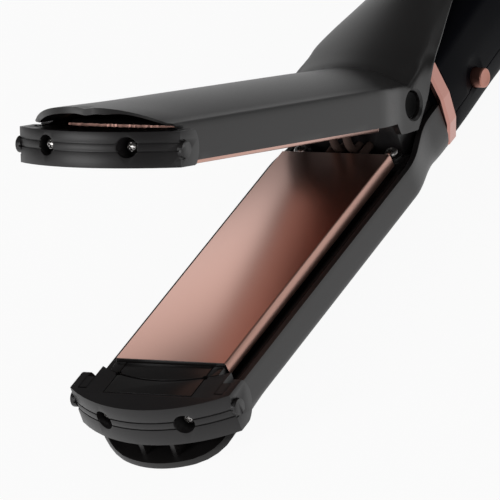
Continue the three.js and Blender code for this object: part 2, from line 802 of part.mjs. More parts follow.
function lowerShell() {
  const skin = loft(lowerStations.map((y) => lowerRing(y, channelOutline(lowerSection(y), shellWall))));
  const outer = loft(lowerStations.map((y) => lowerRing(y, backOutline(lowerSection(y)))));
  const ribs = [-1, 1].map((side) => {
    const x = side * ribPitch / 2;
    return block([x - ribWidth / 2, x + ribWidth / 2], [-lipReach + ribSetBack, -capCheekEnd + 8],
      depthRange(lower, lowerCapDepth + seatGap, closeZ - shellWall / 2));
  });
  const body = cut(skin, lipTrim(), capRoom(lower, seatGap));
  return cut(join(body, ...ribs, ...rearBosses(lower, outer)), ...rearBossBores(lower));
}

function upperShell() {
  const skin = loft(upperRings((section) => channelOutline(section, shellWall)));
  const outer = loft(upperRings(backOutline));
  const body = cut(skin, lipTrim(), capRoom(upper, seatGap));
  const pivot = [0, 0, pivotZ];
  const earBosses = [-1, 1].map((side) => bar('x', pinBossDiameter,
    side * (blockHalfWidth + 0.7), side * (earHalfWidth - shellWall + 0.5), pivot));
  const hookFoot = pivotZ + springRadius + springWire / 2 + seatGap;
  const hookRear = -springLeg - 0.8;
  const springHook = block([springSlotHalf - 3, springSlotHalf], [hookRear - hookLength, hookRear],
    [hookFoot, pivotZ + armCrown + 1]).intersect(outer);
  const pinHole = bar('x', pinShoulderDiameter + 2 * runGap, -far, far, pivot, 32);
  const holeRadius = pinShoulderDiameter / 2 + runGap;
  const bevels = [-1, 1].map((side) => turned('x', [[0, 0], [holeRadius, 0],
    [holeRadius + pinBevel, pinBevel], [0, pinBevel]].map(([r, t]) => [r, side * t]),
  [side * (earHalfWidth - pinBevel / 2), 0, pivotZ], 32));
  return cut(join(body, springHook, ...earBosses, ...rearBosses(upper, outer)),
    pinHole, ...bevels, ...rearBossBores(upper));
}

function upperBackPlate() {
  const rest = floorDepth + floorThickness + backPlateLift;
  return block([-backPlateHalfWidth, backPlateHalfWidth], [plateFrontY - backPlateReach, plateRearY - 4],
    depthRange(upper, rest, rest + backPlateThickness));
}

// Ribs on the back of the upper carrier that hold the back plate off its floor.
function backPlateRibs() {
  const floor = floorDepth + floorThickness;
  return [-1, 1].map((side) => block([side * 15.2, side * 16.8], [plateFrontY, plateRearY - 6],
    depthRange(upper, floor - 0.5, floor + backPlateLift - seatGap)));
}

// Hinge

function hingeBlock() {
  const rear = ringFront - seatGap;
  const outline = [[-blockRadius, pivotZ], [-blockRadius, -5], [rear, -5], [rear, pivotZ - blockRadius],
    [blockRadius, pivotZ - 2], [blockShoulder, pivotZ]];
  const foot = prism('x', outline, -blockHalfWidth, blockHalfWidth).intersect(lowerRoom(seatGap));
  const flat = blockHalfWidth - blockTaper;
  const knuckle = turned('x', [[0, -blockHalfWidth], [blockShoulder, -blockHalfWidth], [blockRadius, -flat],
    [blockRadius, flat], [blockShoulder, blockHalfWidth], [0, blockHalfWidth]], [0, 0, pivotZ], 28);
  const body = join(foot, knuckle);
  const slot = block([-springSlotHalf, springSlotHalf], [-20, blockRadius - 1.6],
    [pivotZ - springRadius - springWire / 2 - seatGap, pivotZ + 20]);
  const mandrelDiameter = 2 * (springRadius - springWire / 2 - springClearance - 0.1);
  const mandrel = bar('x', mandrelDiameter, -springSlotHalf - 1, springSlotHalf + 1, [0, 0, pivotZ], 16);
  const bores = [-1, 1].map((side) => bar('x', pinShankDiameter + 2 * seatGap, side * (springSlotHalf + 1.6),
    side * far, [0, 0, pivotZ]));
  const leadWays = [upperLeadX, lowerLeadX].flatMap((x) => [-x, x]).map((x) => bar('y',
    leadDiameter + 2 * seatGap, -20, 20, [x, 0, closeZ - leadDepth], 10));
  return cut(join(cut(body, slot), mandrel), ...bores, ...leadWays);
}

function hingePin(side) {
  const face = earHalfWidth - pinSink;
  const shoulder = blockHalfWidth + seatGap;
  const profile = [
    [0, springSlotHalf + 2], [pinShankDiameter / 2, springSlotHalf + 2], [pinShankDiameter / 2, shoulder],
    [pinShoulderDiameter / 2, shoulder], [pinShoulderDiameter / 2, face - 0.4],
    [pinShoulderDiameter / 2 - 0.4, face], [0, face],
  ];
  return turned('x', profile.map(([r, t]) => [r, side * t]), [0, 0, pivotZ]);
}

// The torsion spring round the pivot: a straight leg, close turns and a second straight leg.
function springPath() {
  const steps = 8;
  const firstTurn = -Math.PI / 2;
  const lastTurn = Math.PI / 2 - radians(openAngle) + 2 * Math.PI * (springTurns - 1);
  const count = Math.round((steps * (lastTurn - firstTurn)) / (2 * Math.PI));
  const width = springSlotHalf - springWire - springClearance;
  const tilt = radians(openAngle);
  const points = [[-width, -springLeg, pivotZ - springRadius], [-width, -springWire, pivotZ - springRadius]];
  for (let i = 0; i <= count; i++) {
    const turn = mix(firstTurn, lastTurn, i / count);
    const x = mix(-width, width, i / count);
    points.push([x, springRadius * Math.cos(turn), pivotZ + springRadius * Math.sin(turn)]);
  }
  const last = points.at(-1);
  for (const reach of [springWire, springLeg + 2]) {
    points.push([width, last[1] - reach * Math.cos(tilt), last[2] + reach * Math.sin(tilt)]);
  }
  return points;
}

// The least distance between stretches of the spring wire that are a turn apart, less its diameter.
function springLeastGap() {
  const points = springPath().map((p) => new THREE.Vector3(...p));
  let least = Infinity;
  for (let i = 0; i < points.length; i++) {
    for (let k = i + 5; k < points.length; k++) {
      least = Math.min(least, points[i].distanceTo(points[k]));
    }
  }
  return least - springWire;
}

// A sleeved lead that crosses the open hinge into the upper arm. Points are behind and above the pivot.
function upperLead(side) {
  const x = side * upperLeadX;
  const tilt = radians(openAngle);
  const inArm = (s) => {
    const r = leadDepth - pivotHeight;
    return [x, s * Math.cos(tilt) + r * Math.sin(tilt), pivotZ - s * Math.sin(tilt) + r * Math.cos(tilt)];
  };
  const heaterEnd = -plateToPivot - heaterRearMargin + seatGap;
  const route = [
    [x, 6, closeZ - leadDepth],
    [x, -7, closeZ - leadDepth],
    [x, -10.4, closeZ - leadDepth + 1.1],
    [x, -11.6, closeZ - leadDepth + 4.6],
    [x, -11.2, closeZ - leadDepth + 9],
    inArm(-12.6),
    inArm(-15.5),
    inArm(heaterEnd),
  ];
  const curve = new THREE.CatmullRomCurve3(route.map((p) => new THREE.Vector3(...p)), false, 'centripetal');
  return tube(curve.getSpacedPoints(16).map((p) => p.toArray()), leadDiameter, 8);
}

function lowerLead(side) {
  const heaterEnd = -plateToPivot - heaterRearMargin + seatGap;
  return bar('y', leadDiameter, heaterEnd, 6, [side * lowerLeadX, 0, closeZ - leadDepth], 8);
}

// Handle: a faceted outline. Its corners are listed from the top down the right side, each as
// [half width, height from the pivot].

const handleHalfWidth = neckHalfWidth + handleWiderThanNeck;
const handleCorners = [
  [handleHalfWidth - 10.9, 5.2],
  [handleHalfWidth - 1.6, 2.2],
  [handleHalfWidth, -8.2],
  [handleHalfWidth - 0.6, -17.3],
  [handleHalfWidth - 3.1, -24.6],
  [handleHalfWidth - 11.2, -pivotZ],
];
const handleInsets = [[0.35, 1], [0.8, 0.7], [1, 0], [1, 0], [0.95, 0.45], [0.4, 1]];
const handleMiddle = -11.1;
const cornerCut = 0.9;
const taperStart = 90;

function handleScale(y) {
  const slim = ease(y, taperStart, handleRear + 4);
  const waist = mix(1, waistScale, ease(y, ringRear, swellAt));
  return { x: mix(waist, rearWidthScale, slim), z: mix(1, rearHeightScale, slim) };
}

function handleOutline(y, inset = 0) {
  const swell = swellHeight * ease(y, ringRear, swellAt) * (1 - ease(y, taperStart - 6, handleRear));
  const scale = handleScale(y);
  const side = handleCorners.map(([x, z], i) => {
    const lift = z > 0 ? swell * (i === 0 ? 1 : 0.6) : 0;
    const outer = [x * scale.x, handleMiddle + (z - handleMiddle) * scale.z + lift];
    const up = z > handleMiddle ? -1 : 1;
    return [outer[0] - handleInsets[i][0] * inset, pivotZ + outer[1] + up * handleInsets[i][1] * inset];
  });
  const ring = [...side, ...side.map(([x, z]) => [-x, z]).reverse()];
  // Each corner is softened by a small flat.
  return ring.flatMap((corner, i) => {
    const towards = (other) => {
      const gap = Math.hypot(other[0] - corner[0], other[1] - corner[1]);
      return [0, 1].map((k) => corner[k] + ((other[k] - corner[k]) * cornerCut) / gap);
    };
    return [towards(ring[(i + ring.length - 1) % ring.length]), towards(ring[(i + 1) % ring.length])];
  });
}

function handleRing(y, inset) {
  const flat = handleOutline(y, inset);
  return { flat, points: flat.map(([x, z]) => [x, y, z]) };
}

// Half width of the handle at a place along it and a height, on its facets.
function handleSideX(y, height) {
  const pairs = handleCorners.map(([x, z]) => [z, x]).reverse();
  return along(height, pairs) * handleScale(y).x;
}

const seamZ = pivotZ - seamDrop;
const buttonZ = pivotZ - buttonDrop;
const buttonFaceX = handleSideX(buttonFromPivot, -buttonDrop);
const wallInsideX = buttonFaceX - handleWall;

function collarRing() {
  const y = ringRear;
  // The ring is flush underneath, so that the tool lies flat.
  const outline = handleOutline(y, -ringProud).map(([x, z]) => [x, Math.max(z, 0)]);
  const band = prism('y', outline, ringFront, ringRear);
  return cut(band, prism('y', handleOutline(y, ringWall - ringProud), ringFront - 1, ringRear + 1));
}

function handleBody() {
  const front = ringRear + seatGap;
  const middle = [1, 2, 3].map((i) => mix(front, swellAt, i / 3));
  const rear = [1, 2, 3, 4, 5].map((i) => mix(swellAt, handleRear - rearRound, i / 6));
  const stations = [...middle, ...rear];
  const outer = loft([front, ...stations, handleRear - rearRound].map((y) => handleRing(y, 0))
    .concat(handleRing(handleRear, rearRound)));
  const hollow = loft([front + handleWall, ...stations, handleRear - rearRound - 0.2]
    .map((y) => handleRing(y, handleWall)));
  const spigot = loft([ringFront, ringRear + 1].map((y) => ({
    ...handleRing(ringRear, ringWall - ringProud + seatGap),
    points: handleOutline(ringRear, ringWall - ringProud + seatGap).map(([x, z]) => [x, y, z]),
  })));
  return { outer, shell: cut(join(outer, spigot), hollow) };
}

function handleShells() {
  const { outer, shell } = handleBody();
  const leadZ = closeZ - leadDepth;
  const leadWay = block([-8.4, 8.4], [ringFront - 1, ringRear + 4], [leadZ - 3, leadZ + 3]);
  const at = [0, buttonFromPivot, buttonZ];
  const hole = bar('x', buttonDiameter + 2 * runGap, wallInsideX - 3, far, at, 24);
  const dishRim = dishDiameter / 2;
  const dish = turned('x', [[0, 0], [dishRim - 1.3, 0], [dishRim + 1, dishDepth * 2], [0, dishDepth * 2]],
    [buttonFaceX - dishDepth, buttonFromPivot, buttonZ], 28);
  const flangePocket = bar('x', buttonFlange + 2 * runGap, wallInsideX - 6, wallInsideX, at, 24);
  const bushAxis = [0, 0, pivotZ + handleMiddle];
  const bushHole = bar('y', bushNeck + 2 * runGap, handleRear - 20, handleRear + 10, bushAxis);
  const open = cut(shell, leadWay, hole, dish, flangePocket, bushHole);
  const above = block([-far, far], [0, far], [seamZ + seatGap / 2, seamZ + far]);
  const below = block([-far, far], [0, far], [seamZ - far, seamZ - seatGap / 2]);

  const headSeat = handleScrewSink + screwHeadHeight + seatGap;
  const posts = (from, to) => handleScrewYs.map((y) => (
    bar('z', handleBoss, from, to, [0, y, 0]).intersect(outer)));
  const holes = (diameter, to, sides) => handleScrewYs.map((y) => (
    bar('z', diameter + 2 * seatGap, -5, to, [0, y, 0], sides)));
  const lowerPosts = posts(0, seamZ - seatGap / 2);
  const upperPosts = posts(seamZ + seatGap / 2, far);
  const shankHoles = holes(screwShank, seamZ + 12, 12);
  const headHoles = holes(handleScrewHead, headSeat, 24);
  const slots = [boardFront + 5, boardFront + boardLength - 9];
  const cradles = slots.map((y) => cut(
    block([boardX - cradleSide, boardX + boardThickness + cradleSide], [y, y + cradleWidth],
      [handleWall / 2, boardBottom + cradleGrip]),
    block([boardX - seatGap, boardX + boardThickness + seatGap], [y - 1, y + cradleWidth + 1],
      [boardBottom - seatGap, far]),
  ));
  return {
    handle_upper_shell: cut(join(open.intersect(above), ...upperPosts), ...shankHoles),
    handle_lower_shell: cut(join(open.intersect(below), ...lowerPosts, ...cradles),
      ...shankHoles, ...headHoles),
  };
}

function handleScrew(y) {
  const length = seamZ + 11 - handleScrewSink - screwHeadHeight;
  return screw('z', handleScrewSink, 1, handleScrewHead, length, [0, y, 0]);
}

function circuitBoard() {
  return block([boardX, boardX + boardThickness], [boardFront, boardFront + boardLength],
    [boardBottom, boardBottom + boardHeight]);
}

const switchFaceX = boardX + boardThickness + seatGap + switchHeight;

function tactSwitch() {
  const half = switchSide / 2;
  const body = block([switchFaceX - switchHeight, switchFaceX],
    [buttonFromPivot - half, buttonFromPivot + half], [buttonZ - half, buttonZ + half]);
  const plunger = bar('x', plungerDiameter, switchFaceX - 0.5, switchFaceX + plungerReach,
    [0, buttonFromPivot, buttonZ], 16);
  return join(body, plunger);
}

function powerButton() {
  const face = buttonFaceX + buttonProud;
  const flangeOut = wallInsideX - seatGap;
  const flangeIn = flangeOut - 1.5;
  const stemEnd = switchFaceX + plungerReach + buttonTravel + seatGap;
  const rim = buttonDiameter / 2;
  return turned('x', [[0, stemEnd], [1.5, stemEnd], [1.5, flangeIn], [buttonFlange / 2, flangeIn],
    [buttonFlange / 2, flangeOut], [rim, flangeOut], [rim, face - 0.5], [rim - 0.5, face], [rim - 1, face],
    [0, face - 0.25]], [0, buttonFromPivot, buttonZ], 24);
}

function cordBush() {
  const inner = handleRear - rearRound - 0.2;
  const bore = bushBore / 2;
  const neck = bushNeck / 2;
  const collar = neck + 1.6;
  return turned('y', [[bore, inner - 2.5], [bushFlange / 2, inner - 2.5], [bushFlange / 2, inner - seatGap],
    [neck, inner - seatGap], [neck, handleRear + seatGap], [collar, handleRear + seatGap],
    [collar, handleRear + 3], [bore + 1.6, handleRear + bushOut], [bore, handleRear + bushOut],
    [bore, inner - 2.5]], [0, 0, pivotZ + handleMiddle], 24);
}

// Finishes and the tree of pieces

const finishes = {
  shell: { color: 0x3c3b3b, roughness: 0.45, metalness: 0 },
  handle: { color: 0x202226, roughness: 0.4, metalness: 0 },
  heatPlastic: { color: 0x151515, roughness: 0.35, metalness: 0 },
  plate: { color: 0xb0705a, roughness: 0.2, metalness: 1 },
  roseGold: { color: 0xc88f7f, roughness: 0.25, metalness: 1 },
  steel: { color: 0xb8b8b8, roughness: 0.3, metalness: 1 },
  ceramic: { color: 0xd8d4cc, roughness: 0.6, metalness: 0 },
  sleeve: { color: 0x8a7a70, roughness: 0.8, metalness: 0 },
  board: { color: 0x1f5b3a, roughness: 0.6, metalness: 0 },
};

function piece(name, solid, finish) {
  const mesh = new THREE.Mesh(geometryOf(solid), new THREE.MeshStandardMaterial(finishes[finish]));
  mesh.name = name;
  return mesh;
}

function tong(half, name) {
  const group = new THREE.Group();
  group.add(
    piece(`${name}_plate`, heatedPlate(half), 'plate'),
    piece(`${name}_heater`, heaterBar(half), 'ceramic'),
    piece(`${name}_temperature_sensor`, temperatureSensor(half), 'ceramic'),
    piece(`${name}_end_cap`, endCap(half), 'heatPlastic'),
  );
  for (const [side, word] of [[-1, 'left'], [1, 'right']]) {
    group.add(
      piece(`${name}_cap_screw_${word}`, capScrew(half, side), 'steel'),
      piece(`${name}_rear_screw_${word}`, rearScrew(half, side), 'steel'),
    );
  }
  return group;
}

const object = new THREE.Group();

const lowerHalf = tong(lower, 'lower');
lowerHalf.add(
  piece('lower_shell', lowerShell(), 'shell'),
  piece('lower_plate_carrier', plateCarrier(lower), 'heatPlastic'),
  piece('hinge_block', hingeBlock(), 'heatPlastic'),
  piece('hinge_spring', tube(springPath(), springWire, 5), 'steel'),
  piece('collar_ring', collarRing(), 'roseGold'),
  piece('circuit_board', circuitBoard(), 'board'),
  piece('tact_switch', tactSwitch(), 'heatPlastic'),
  piece('cord_bush', cordBush(), 'handle'),
);
for (const [name, solid] of Object.entries(handleShells())) {
  lowerHalf.add(piece(name, solid, 'handle'));
}
handleScrewYs.forEach((y, i) => {
  lowerHalf.add(piece(`handle_screw_${['front', 'rear'][i]}`, handleScrew(y), 'steel'));
});
for (const [side, word] of [[-1, 'left'], [1, 'right']]) {
  lowerHalf.add(
    piece(`hinge_pin_${word}`, hingePin(side), 'heatPlastic'),
    piece(`upper_lead_${word}`, upperLead(side), 'sleeve'),
    piece(`lower_lead_${word}`, lowerLead(side), 'sleeve'),
  );
}
object.add(lowerHalf, piece('power_button', powerButton(), 'roseGold'));

const upperHalf = tong(upper, 'upper');
upperHalf.add(
  piece('upper_shell', upperShell(), 'shell'),
  piece('upper_plate_carrier', join(plateCarrier(upper), ...backPlateRibs()), 'heatPlastic'),
  piece('upper_back_plate', upperBackPlate(), 'plate'),
);
upperHalf.position.z = -pivotZ;
const opened = new THREE.Group();
opened.position.z = pivotZ;
opened.rotation.x = -radians(openAngle);
opened.add(upperHalf);
object.add(opened);

console.log(`least gap between the turns of hinge_spring: ${springLeastGap().toFixed(2)} mm`);

export default object;
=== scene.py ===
# Hair waver: the smooth, finished pieces round the fixed frame, with materials, light and camera.
import json
import math
import random
import bpy
from mathutils import Matrix, Vector

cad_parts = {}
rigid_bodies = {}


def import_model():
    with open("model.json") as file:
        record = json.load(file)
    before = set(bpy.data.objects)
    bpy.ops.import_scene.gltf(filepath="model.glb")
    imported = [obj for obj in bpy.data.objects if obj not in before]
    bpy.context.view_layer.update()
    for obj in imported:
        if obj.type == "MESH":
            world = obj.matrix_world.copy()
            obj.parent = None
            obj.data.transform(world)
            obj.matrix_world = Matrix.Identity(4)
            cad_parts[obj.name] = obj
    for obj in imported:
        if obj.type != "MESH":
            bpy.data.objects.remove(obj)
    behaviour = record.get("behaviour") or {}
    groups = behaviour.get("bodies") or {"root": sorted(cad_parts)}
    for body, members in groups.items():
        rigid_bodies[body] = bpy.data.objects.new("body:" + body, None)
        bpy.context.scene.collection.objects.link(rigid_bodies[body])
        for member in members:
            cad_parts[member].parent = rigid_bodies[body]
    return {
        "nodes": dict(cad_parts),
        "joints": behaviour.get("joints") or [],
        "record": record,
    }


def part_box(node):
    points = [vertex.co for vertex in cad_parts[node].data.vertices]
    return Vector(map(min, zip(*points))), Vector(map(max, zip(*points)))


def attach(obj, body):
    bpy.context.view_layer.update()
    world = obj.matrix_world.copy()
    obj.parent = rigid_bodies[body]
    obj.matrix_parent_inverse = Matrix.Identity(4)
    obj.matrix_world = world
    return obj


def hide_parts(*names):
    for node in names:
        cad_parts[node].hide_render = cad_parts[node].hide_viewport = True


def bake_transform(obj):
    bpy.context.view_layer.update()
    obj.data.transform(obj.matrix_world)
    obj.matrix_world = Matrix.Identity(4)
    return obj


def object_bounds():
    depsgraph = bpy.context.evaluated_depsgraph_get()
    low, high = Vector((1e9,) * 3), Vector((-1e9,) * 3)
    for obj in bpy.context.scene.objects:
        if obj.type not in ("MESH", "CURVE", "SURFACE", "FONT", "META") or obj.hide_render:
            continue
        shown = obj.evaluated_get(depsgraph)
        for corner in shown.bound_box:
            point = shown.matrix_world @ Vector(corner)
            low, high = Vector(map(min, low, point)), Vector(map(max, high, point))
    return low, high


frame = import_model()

frameLow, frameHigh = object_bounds()
mm = 0.001

# Places that the frame gives
hinge = next(joint for joint in frame["joints"] if joint["name"] == "jaw_hinge")
openAngle = math.radians(hinge["range_deg"][1])
pivotZ = hinge["pos_m"][2]
halfGap = 0.2 * mm                              # from a plate to the plane where the two meet
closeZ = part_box("lower_plate")[1].z + halfGap
pivotUp, closeUp = pivotZ / mm, closeZ / mm     # the same two heights in mm
armForward = Vector((0, -math.cos(openAngle), math.sin(openAngle)))
slotOf = {row["node"]: row["material_slot"] for row in frame["record"]["subparts"]}
bodyOf = {node: body for body, nodes in frame["record"]["behaviour"]["bodies"].items() for node in nodes}
sides = (("left", -1), ("right", 1))


# Small helpers

def deselectAll():
    bpy.ops.object.select_all(action="DESELECT")


def choose(piece):
    deselectAll()
    piece.select_set(True)
    bpy.context.view_layer.objects.active = piece


def linearColour(hexColour):
    # sRGB hex to the linear values that shaders take
    values = [int(hexColour[i:i + 2], 16) / 255 for i in (1, 3, 5)]
    return [v / 12.92 if v <= 0.04045 else ((v + 0.055) / 1.055) ** 2.4 for v in values] + [1]


def setUp(node, settings):
    # settings are attributes or input values
    for key, value in settings.items():
        if isinstance(key, str) and hasattr(node, key):
            setattr(node, key, value)
        else:
            node.inputs[key].default_value = value


def addNode(tree, kind, settings=None, links=None):
    # links are {input: output socket}
    node = tree.nodes.new(kind)
    setUp(node, settings or {})
    for key, socket in (links or {}).items():
        tree.links.new(socket, node.inputs[key])
    return node


def editMesh(piece, *steps):
    # each step is a mesh operator with its settings, and runs on all of the mesh
    choose(piece)
    bpy.ops.object.mode_set(mode="EDIT")
    for operator, settings in steps:
        bpy.ops.mesh.select_all(action="SELECT")
        operator(**settings)
    bpy.ops.object.mode_set(mode="OBJECT")


def applyModifier(piece, kind, **settings):
    choose(piece)
    modifier = piece.modifiers.new(kind.lower(), kind)
    for key, value in settings.items():
        setattr(modifier, key, value)
    bpy.ops.object.modifier_apply(modifier=modifier.name)


def smoothEdges(piece, angle=35):
    choose(piece)
    bpy.ops.object.shade_smooth_by_angle(angle=math.radians(angle))


# Materials

def newMaterial(name, settings):
    material = bpy.data.materials.new(name)
    material.use_nodes = True
    shader = material.node_tree.nodes["Principled BSDF"]
    setUp(shader, settings)
    return material, material.node_tree, shader


def addGrain(tree, shader, place, size, detail, gloss, lift):
    # fine noise, size in mm; gloss is the range of roughness, lift the bump's strength and depth
    scale = {"Scale": 1 / (size * mm), "Detail": detail}
    noise = addNode(tree, "ShaderNodeTexNoise", scale, {"Vector": place})
    rough = addNode(tree, "ShaderNodeMapRange", {"To Min": gloss[0], "To Max": gloss[1]},
                    {"Value": noise.outputs["Fac"]})
    tree.links.new(rough.outputs["Result"], shader.inputs["Roughness"])
    bump = addNode(tree, "ShaderNodeBump", {"Strength": lift[0], "Distance": lift[1] * mm},
                   {"Height": noise.outputs["Fac"]})
    tree.links.new(bump.outputs["Normal"], shader.inputs["Normal"])


def grainedPlastic(name, colour, roughness, grain, depth, mottle=0.06, shine=0.5):
    # moulded plastic: a fine spark-eroded grain breaks up the gloss, and faint mottling the colour
    material, tree, shader = newMaterial(name, {"IOR": 1.52, "Specular IOR Level": shine})
    place = addNode(tree, "ShaderNodeTexCoord").outputs["Object"]
    cloud = addNode(tree, "ShaderNodeTexNoise", {"Scale": 60.0, "Detail": 3.0}, {"Vector": place})
    shade = addNode(tree, "ShaderNodeValToRGB", links={"Fac": cloud.outputs["Fac"]})
    for stop, position, tone in zip(shade.color_ramp.elements, (0.35, 0.65), (1 - mottle, 1 + mottle)):
        stop.position = position
        stop.color = [v * tone for v in linearColour(colour)[:3]] + [1]
    tree.links.new(shade.outputs["Color"], shader.inputs["Base Color"])
    addGrain(tree, shader, place, grain, 2.0, (roughness - 0.05, roughness + 0.05), (0.35, depth))
    return material


def coatedMetal(name, colour, roughness, grain, depth, spread=0.03, coat=0.0):
    # metal or plating with a faintly uneven gloss, and a clear coat where coat is above 0
    material, tree, shader = newMaterial(name, {
        "Metallic": 1.0, "Base Color": linearColour(colour),
        "Coat Weight": coat, "Coat IOR": 2.1, "Coat Roughness": roughness,
    })
    place = addNode(tree, "ShaderNodeTexCoord").outputs["Object"]
    addGrain(tree, shader, place, grain, 3.0, (roughness - spread, roughness + spread), (0.15, depth))
    return material


finish = {
    # glass-filled nylon with a fine spark-eroded grain: soft, broad highlights
    "charcoal_shell": grainedPlastic("nylonCharcoalGrained", "#211f1f", 0.42, 0.35, 0.01),
    # smooth ABS, slightly blue, with hardly any shine
    "handle_plastic": grainedPlastic("absBlueBlackSatin", "#0f1015", 0.5, 0.5, 0.004, shine=0.03),
    # heat-resistant polyester moulding: end caps and hinge block
    "black_heat_plastic": grainedPlastic("polyesterBlackMoulded", "#201e1f", 0.42, 0.4, 0.008, shine=0.45),
    # ceramic-coated aluminium: copper pink, with a soft mirror image of the arm above it
    "copper_plate": coatedMetal(
        "aluminiumCopperCeramicCoated", "#bd8470", 0.33, 0.25, 0.0004, spread=0.02, coat=1.0),
    # the cut edge of the back plate is rougher than a coated face, and its colour is lighter than the coated
    # copper's: a painted highlight on the edge, which lies in the canopy's shade
    "sheared_copper_painted_highlight": coatedMetal("aluminiumCopperCeramicSheared", "#d0a699", 0.6, 0.25, 0.001),
    # plated ABS in rose gold, satin
    "rose_gold": coatedMetal("absRoseGoldPlated", "#b97f72", 0.3, 0.8, 0.001, coat=0.5),
    # zinc-plated steel
    "screw_steel": coatedMetal("steelZincPlated", "#aaa7a5", 0.28, 0.6, 0.01),
    # the same moulding where it is polished: the plate carriers
    "gloss_black": grainedPlastic("polyesterBlackPolished", "#1b1919", 0.24, 0.4, 0.004, shine=0.4),
    # hinge pins, and the back plate's faces: near-black and duller than the black moulding, painted shade of
    # the deep pin holes and of the canopy's inside
    "painted_shade_black": grainedPlastic("acetalBlackTurned", "#080808", 0.5, 0.4, 0.004, shine=0.04),
    # the button's plating is satin blasted
    "satin_rose": coatedMetal("absRoseGoldBlasted", "#c08a7c", 0.46, 0.4, 0.004),
    "ceramic": grainedPlastic("aluminaUnglazed", "#d9d4cc", 0.7, 0.5, 0.03),
    "lead_sleeve": grainedPlastic("glassSleeveWoven", "#55433c", 0.8, 0.6, 0.1),
    "board_laminate": grainedPlastic("laminateGreenMasked", "#1f5b3a", 0.45, 0.6, 0.02),
}

# CAD nodes that stay get their slot's finish
for node, slot in slotOf.items():
    materials = frame["nodes"][node].data.materials
    materials.clear()
    materials.append(finish[slot])


# Finishing a piece that stands for a CAD node

def softenEdges(piece, width, segments=2, limit=40):
    applyModifier(piece, "BEVEL", width=width * mm, segments=segments, limit_method="ANGLE",
                  angle_limit=math.radians(limit), use_clamp_overlap=True)


def standFor(piece, node, rides=True):
    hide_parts(node)
    if rides:
        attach(piece, bodyOf[node])


def finishPiece(piece, node, bevel=0, angle=35, segments=2, limit=40, rides=True):
    if bevel:
        softenEdges(piece, bevel, segments, limit)
    smoothEdges(piece, angle)
    piece.data.materials.clear()
    piece.data.materials.append(finish[slotOf[node]])
    standFor(piece, node, rides)
    return piece


# Moulded shells: smooth sheets over the tongs' sections, given a wall and soft edges

tong = {
    # mm; depths run from the closing plane outwards, and pairs are where a change starts and ends
    "wall": 1.9, "half": 24.8, "pivotHeight": 7.1,
    "lowerRim": 5.0, "lowerSide": 12.9, "lowerRidge": 15.5,
    "upperRim": 2.2, "upperSide": 11.3, "upperRidge": 13.9, "upperCrown": 18.0, "tipGrowth": 1.0,
    "cornerInset": 1.9, "lipCornerInset": 12.0, "lipStart": 5, "lipBlend": 26.0,
    "lipDrop": 0.3, "lipSoftness": 0.8,
    "neckHalf": 20.2, "neckRim": 2.7, "neckSide": 10.6, "neckRidge": 20.0, "neckInset": 7.0,
    "neckChange": (-12, 12), "neckHalfChange": (-17, 6), "neckRimChange": (-10, 10),
    "earHalf": 22.0, "earRadius": 8.0, "earSide": 3.7, "earOverlap": 0.3, "notchStart": 10.4, "notchEnd": 7.6,
    "earChange": (-30, -4), "earHalfChange": (-22, -6),
    "lipReach": 145.7, "lipRadius": 30.0, "lipFade": 34.0, "rearEnd": 13.9,
    "pinHoleRadius": 4.35, "pinBevel": 0.7,
    "softEdge": 0.35, "dentX": 1.7, "dentHalf": 2.4, "dentDepth": 0.55, "dentLength": 5,
}
rib = {
    # mm; front and rear are distances behind the lip's front and the recess, foot a share of the wall
    "pitch": 11, "width": 1.7, "front": 4, "rear": 8, "foot": 0.6, "gap": 0.3, "softEdge": 0.3,
}
canopy = {
    # mm; the lip's wall is hollowed from start, where nothing is cut, to side, where endWall is left;
    # full is how much fuller the crown is beside its middle
    "start": 1, "side": 22.4, "spare": 0.7, "endWall": 0.8, "change": (2, 15), "beyond": 4, "below": 2,
    "full": 0.6, "fullLength": 30,
}
capClear = {"cheekEnd": -135.3, "lowerDepth": 14.3, "upperDepth": 12.1, "slotTop": 13.1, "slotEnd": -129.8}
lipFront = -tong["lipReach"]
# How far the cutters reach, in mm
beyond = {"side": 40, "front": -170, "height": 20, "overlap": 0.1, "pin": 60,
          "handleSide": 60, "handleRear": 190, "handleLow": -20, "handleTop": 80}

# The hood behind the pivot: share of its length, half width over the ears, then the heights of
# lower edge, ridge and crown over the arm's crown, in mm
hoodRows = [
    [0.07, 0, -15.3, -4.3, 0.3], [0.13, 0, -13.1, -4, 0.6], [0.19, 0.2, -9.5, -3.5, 1],
    [0.27, 0.2, -5.8, -2.8, 1.5], [0.4, -1.7, -4.7, -1.9, 2.2], [0.54, -4.1, -3.8, -1.4, 2.7],
    [0.68, -6.5, -3.1, -1.1, 2.8], [0.81, -8.8, -2.6, -0.8, 2.5], [0.9, -10.9, -2.1, -0.5, 1.9],
    [0.97, -13.2, -1.7, -0.4, 1.2], [1, -15.6, -1.3, -0.3, 0.6],
]
hood = {"length": 63.0, "edgeInset": 2.7, "steps": 44, "slant": (0.1, 0.27), "rimSide": 0.4, "softness": 0.12}


def mix(a, b, t):
    return a + (b - a) * t


def ease(value, start, end):
    t = min(max((value - start) / (end - start), 0), 1)
    return t * t * (3 - 2 * t)


def crownDepth(section, x):
    # the crown is an arc from ridge to ridge
    flank = section["half"] - section["inset"]
    rise = max(section["crown"] - section["ridge"], 0.01)
    radius = (flank * flank + rise * rise) / (2 * rise)
    return section["crown"] - radius + math.sqrt(radius * radius - x * x)


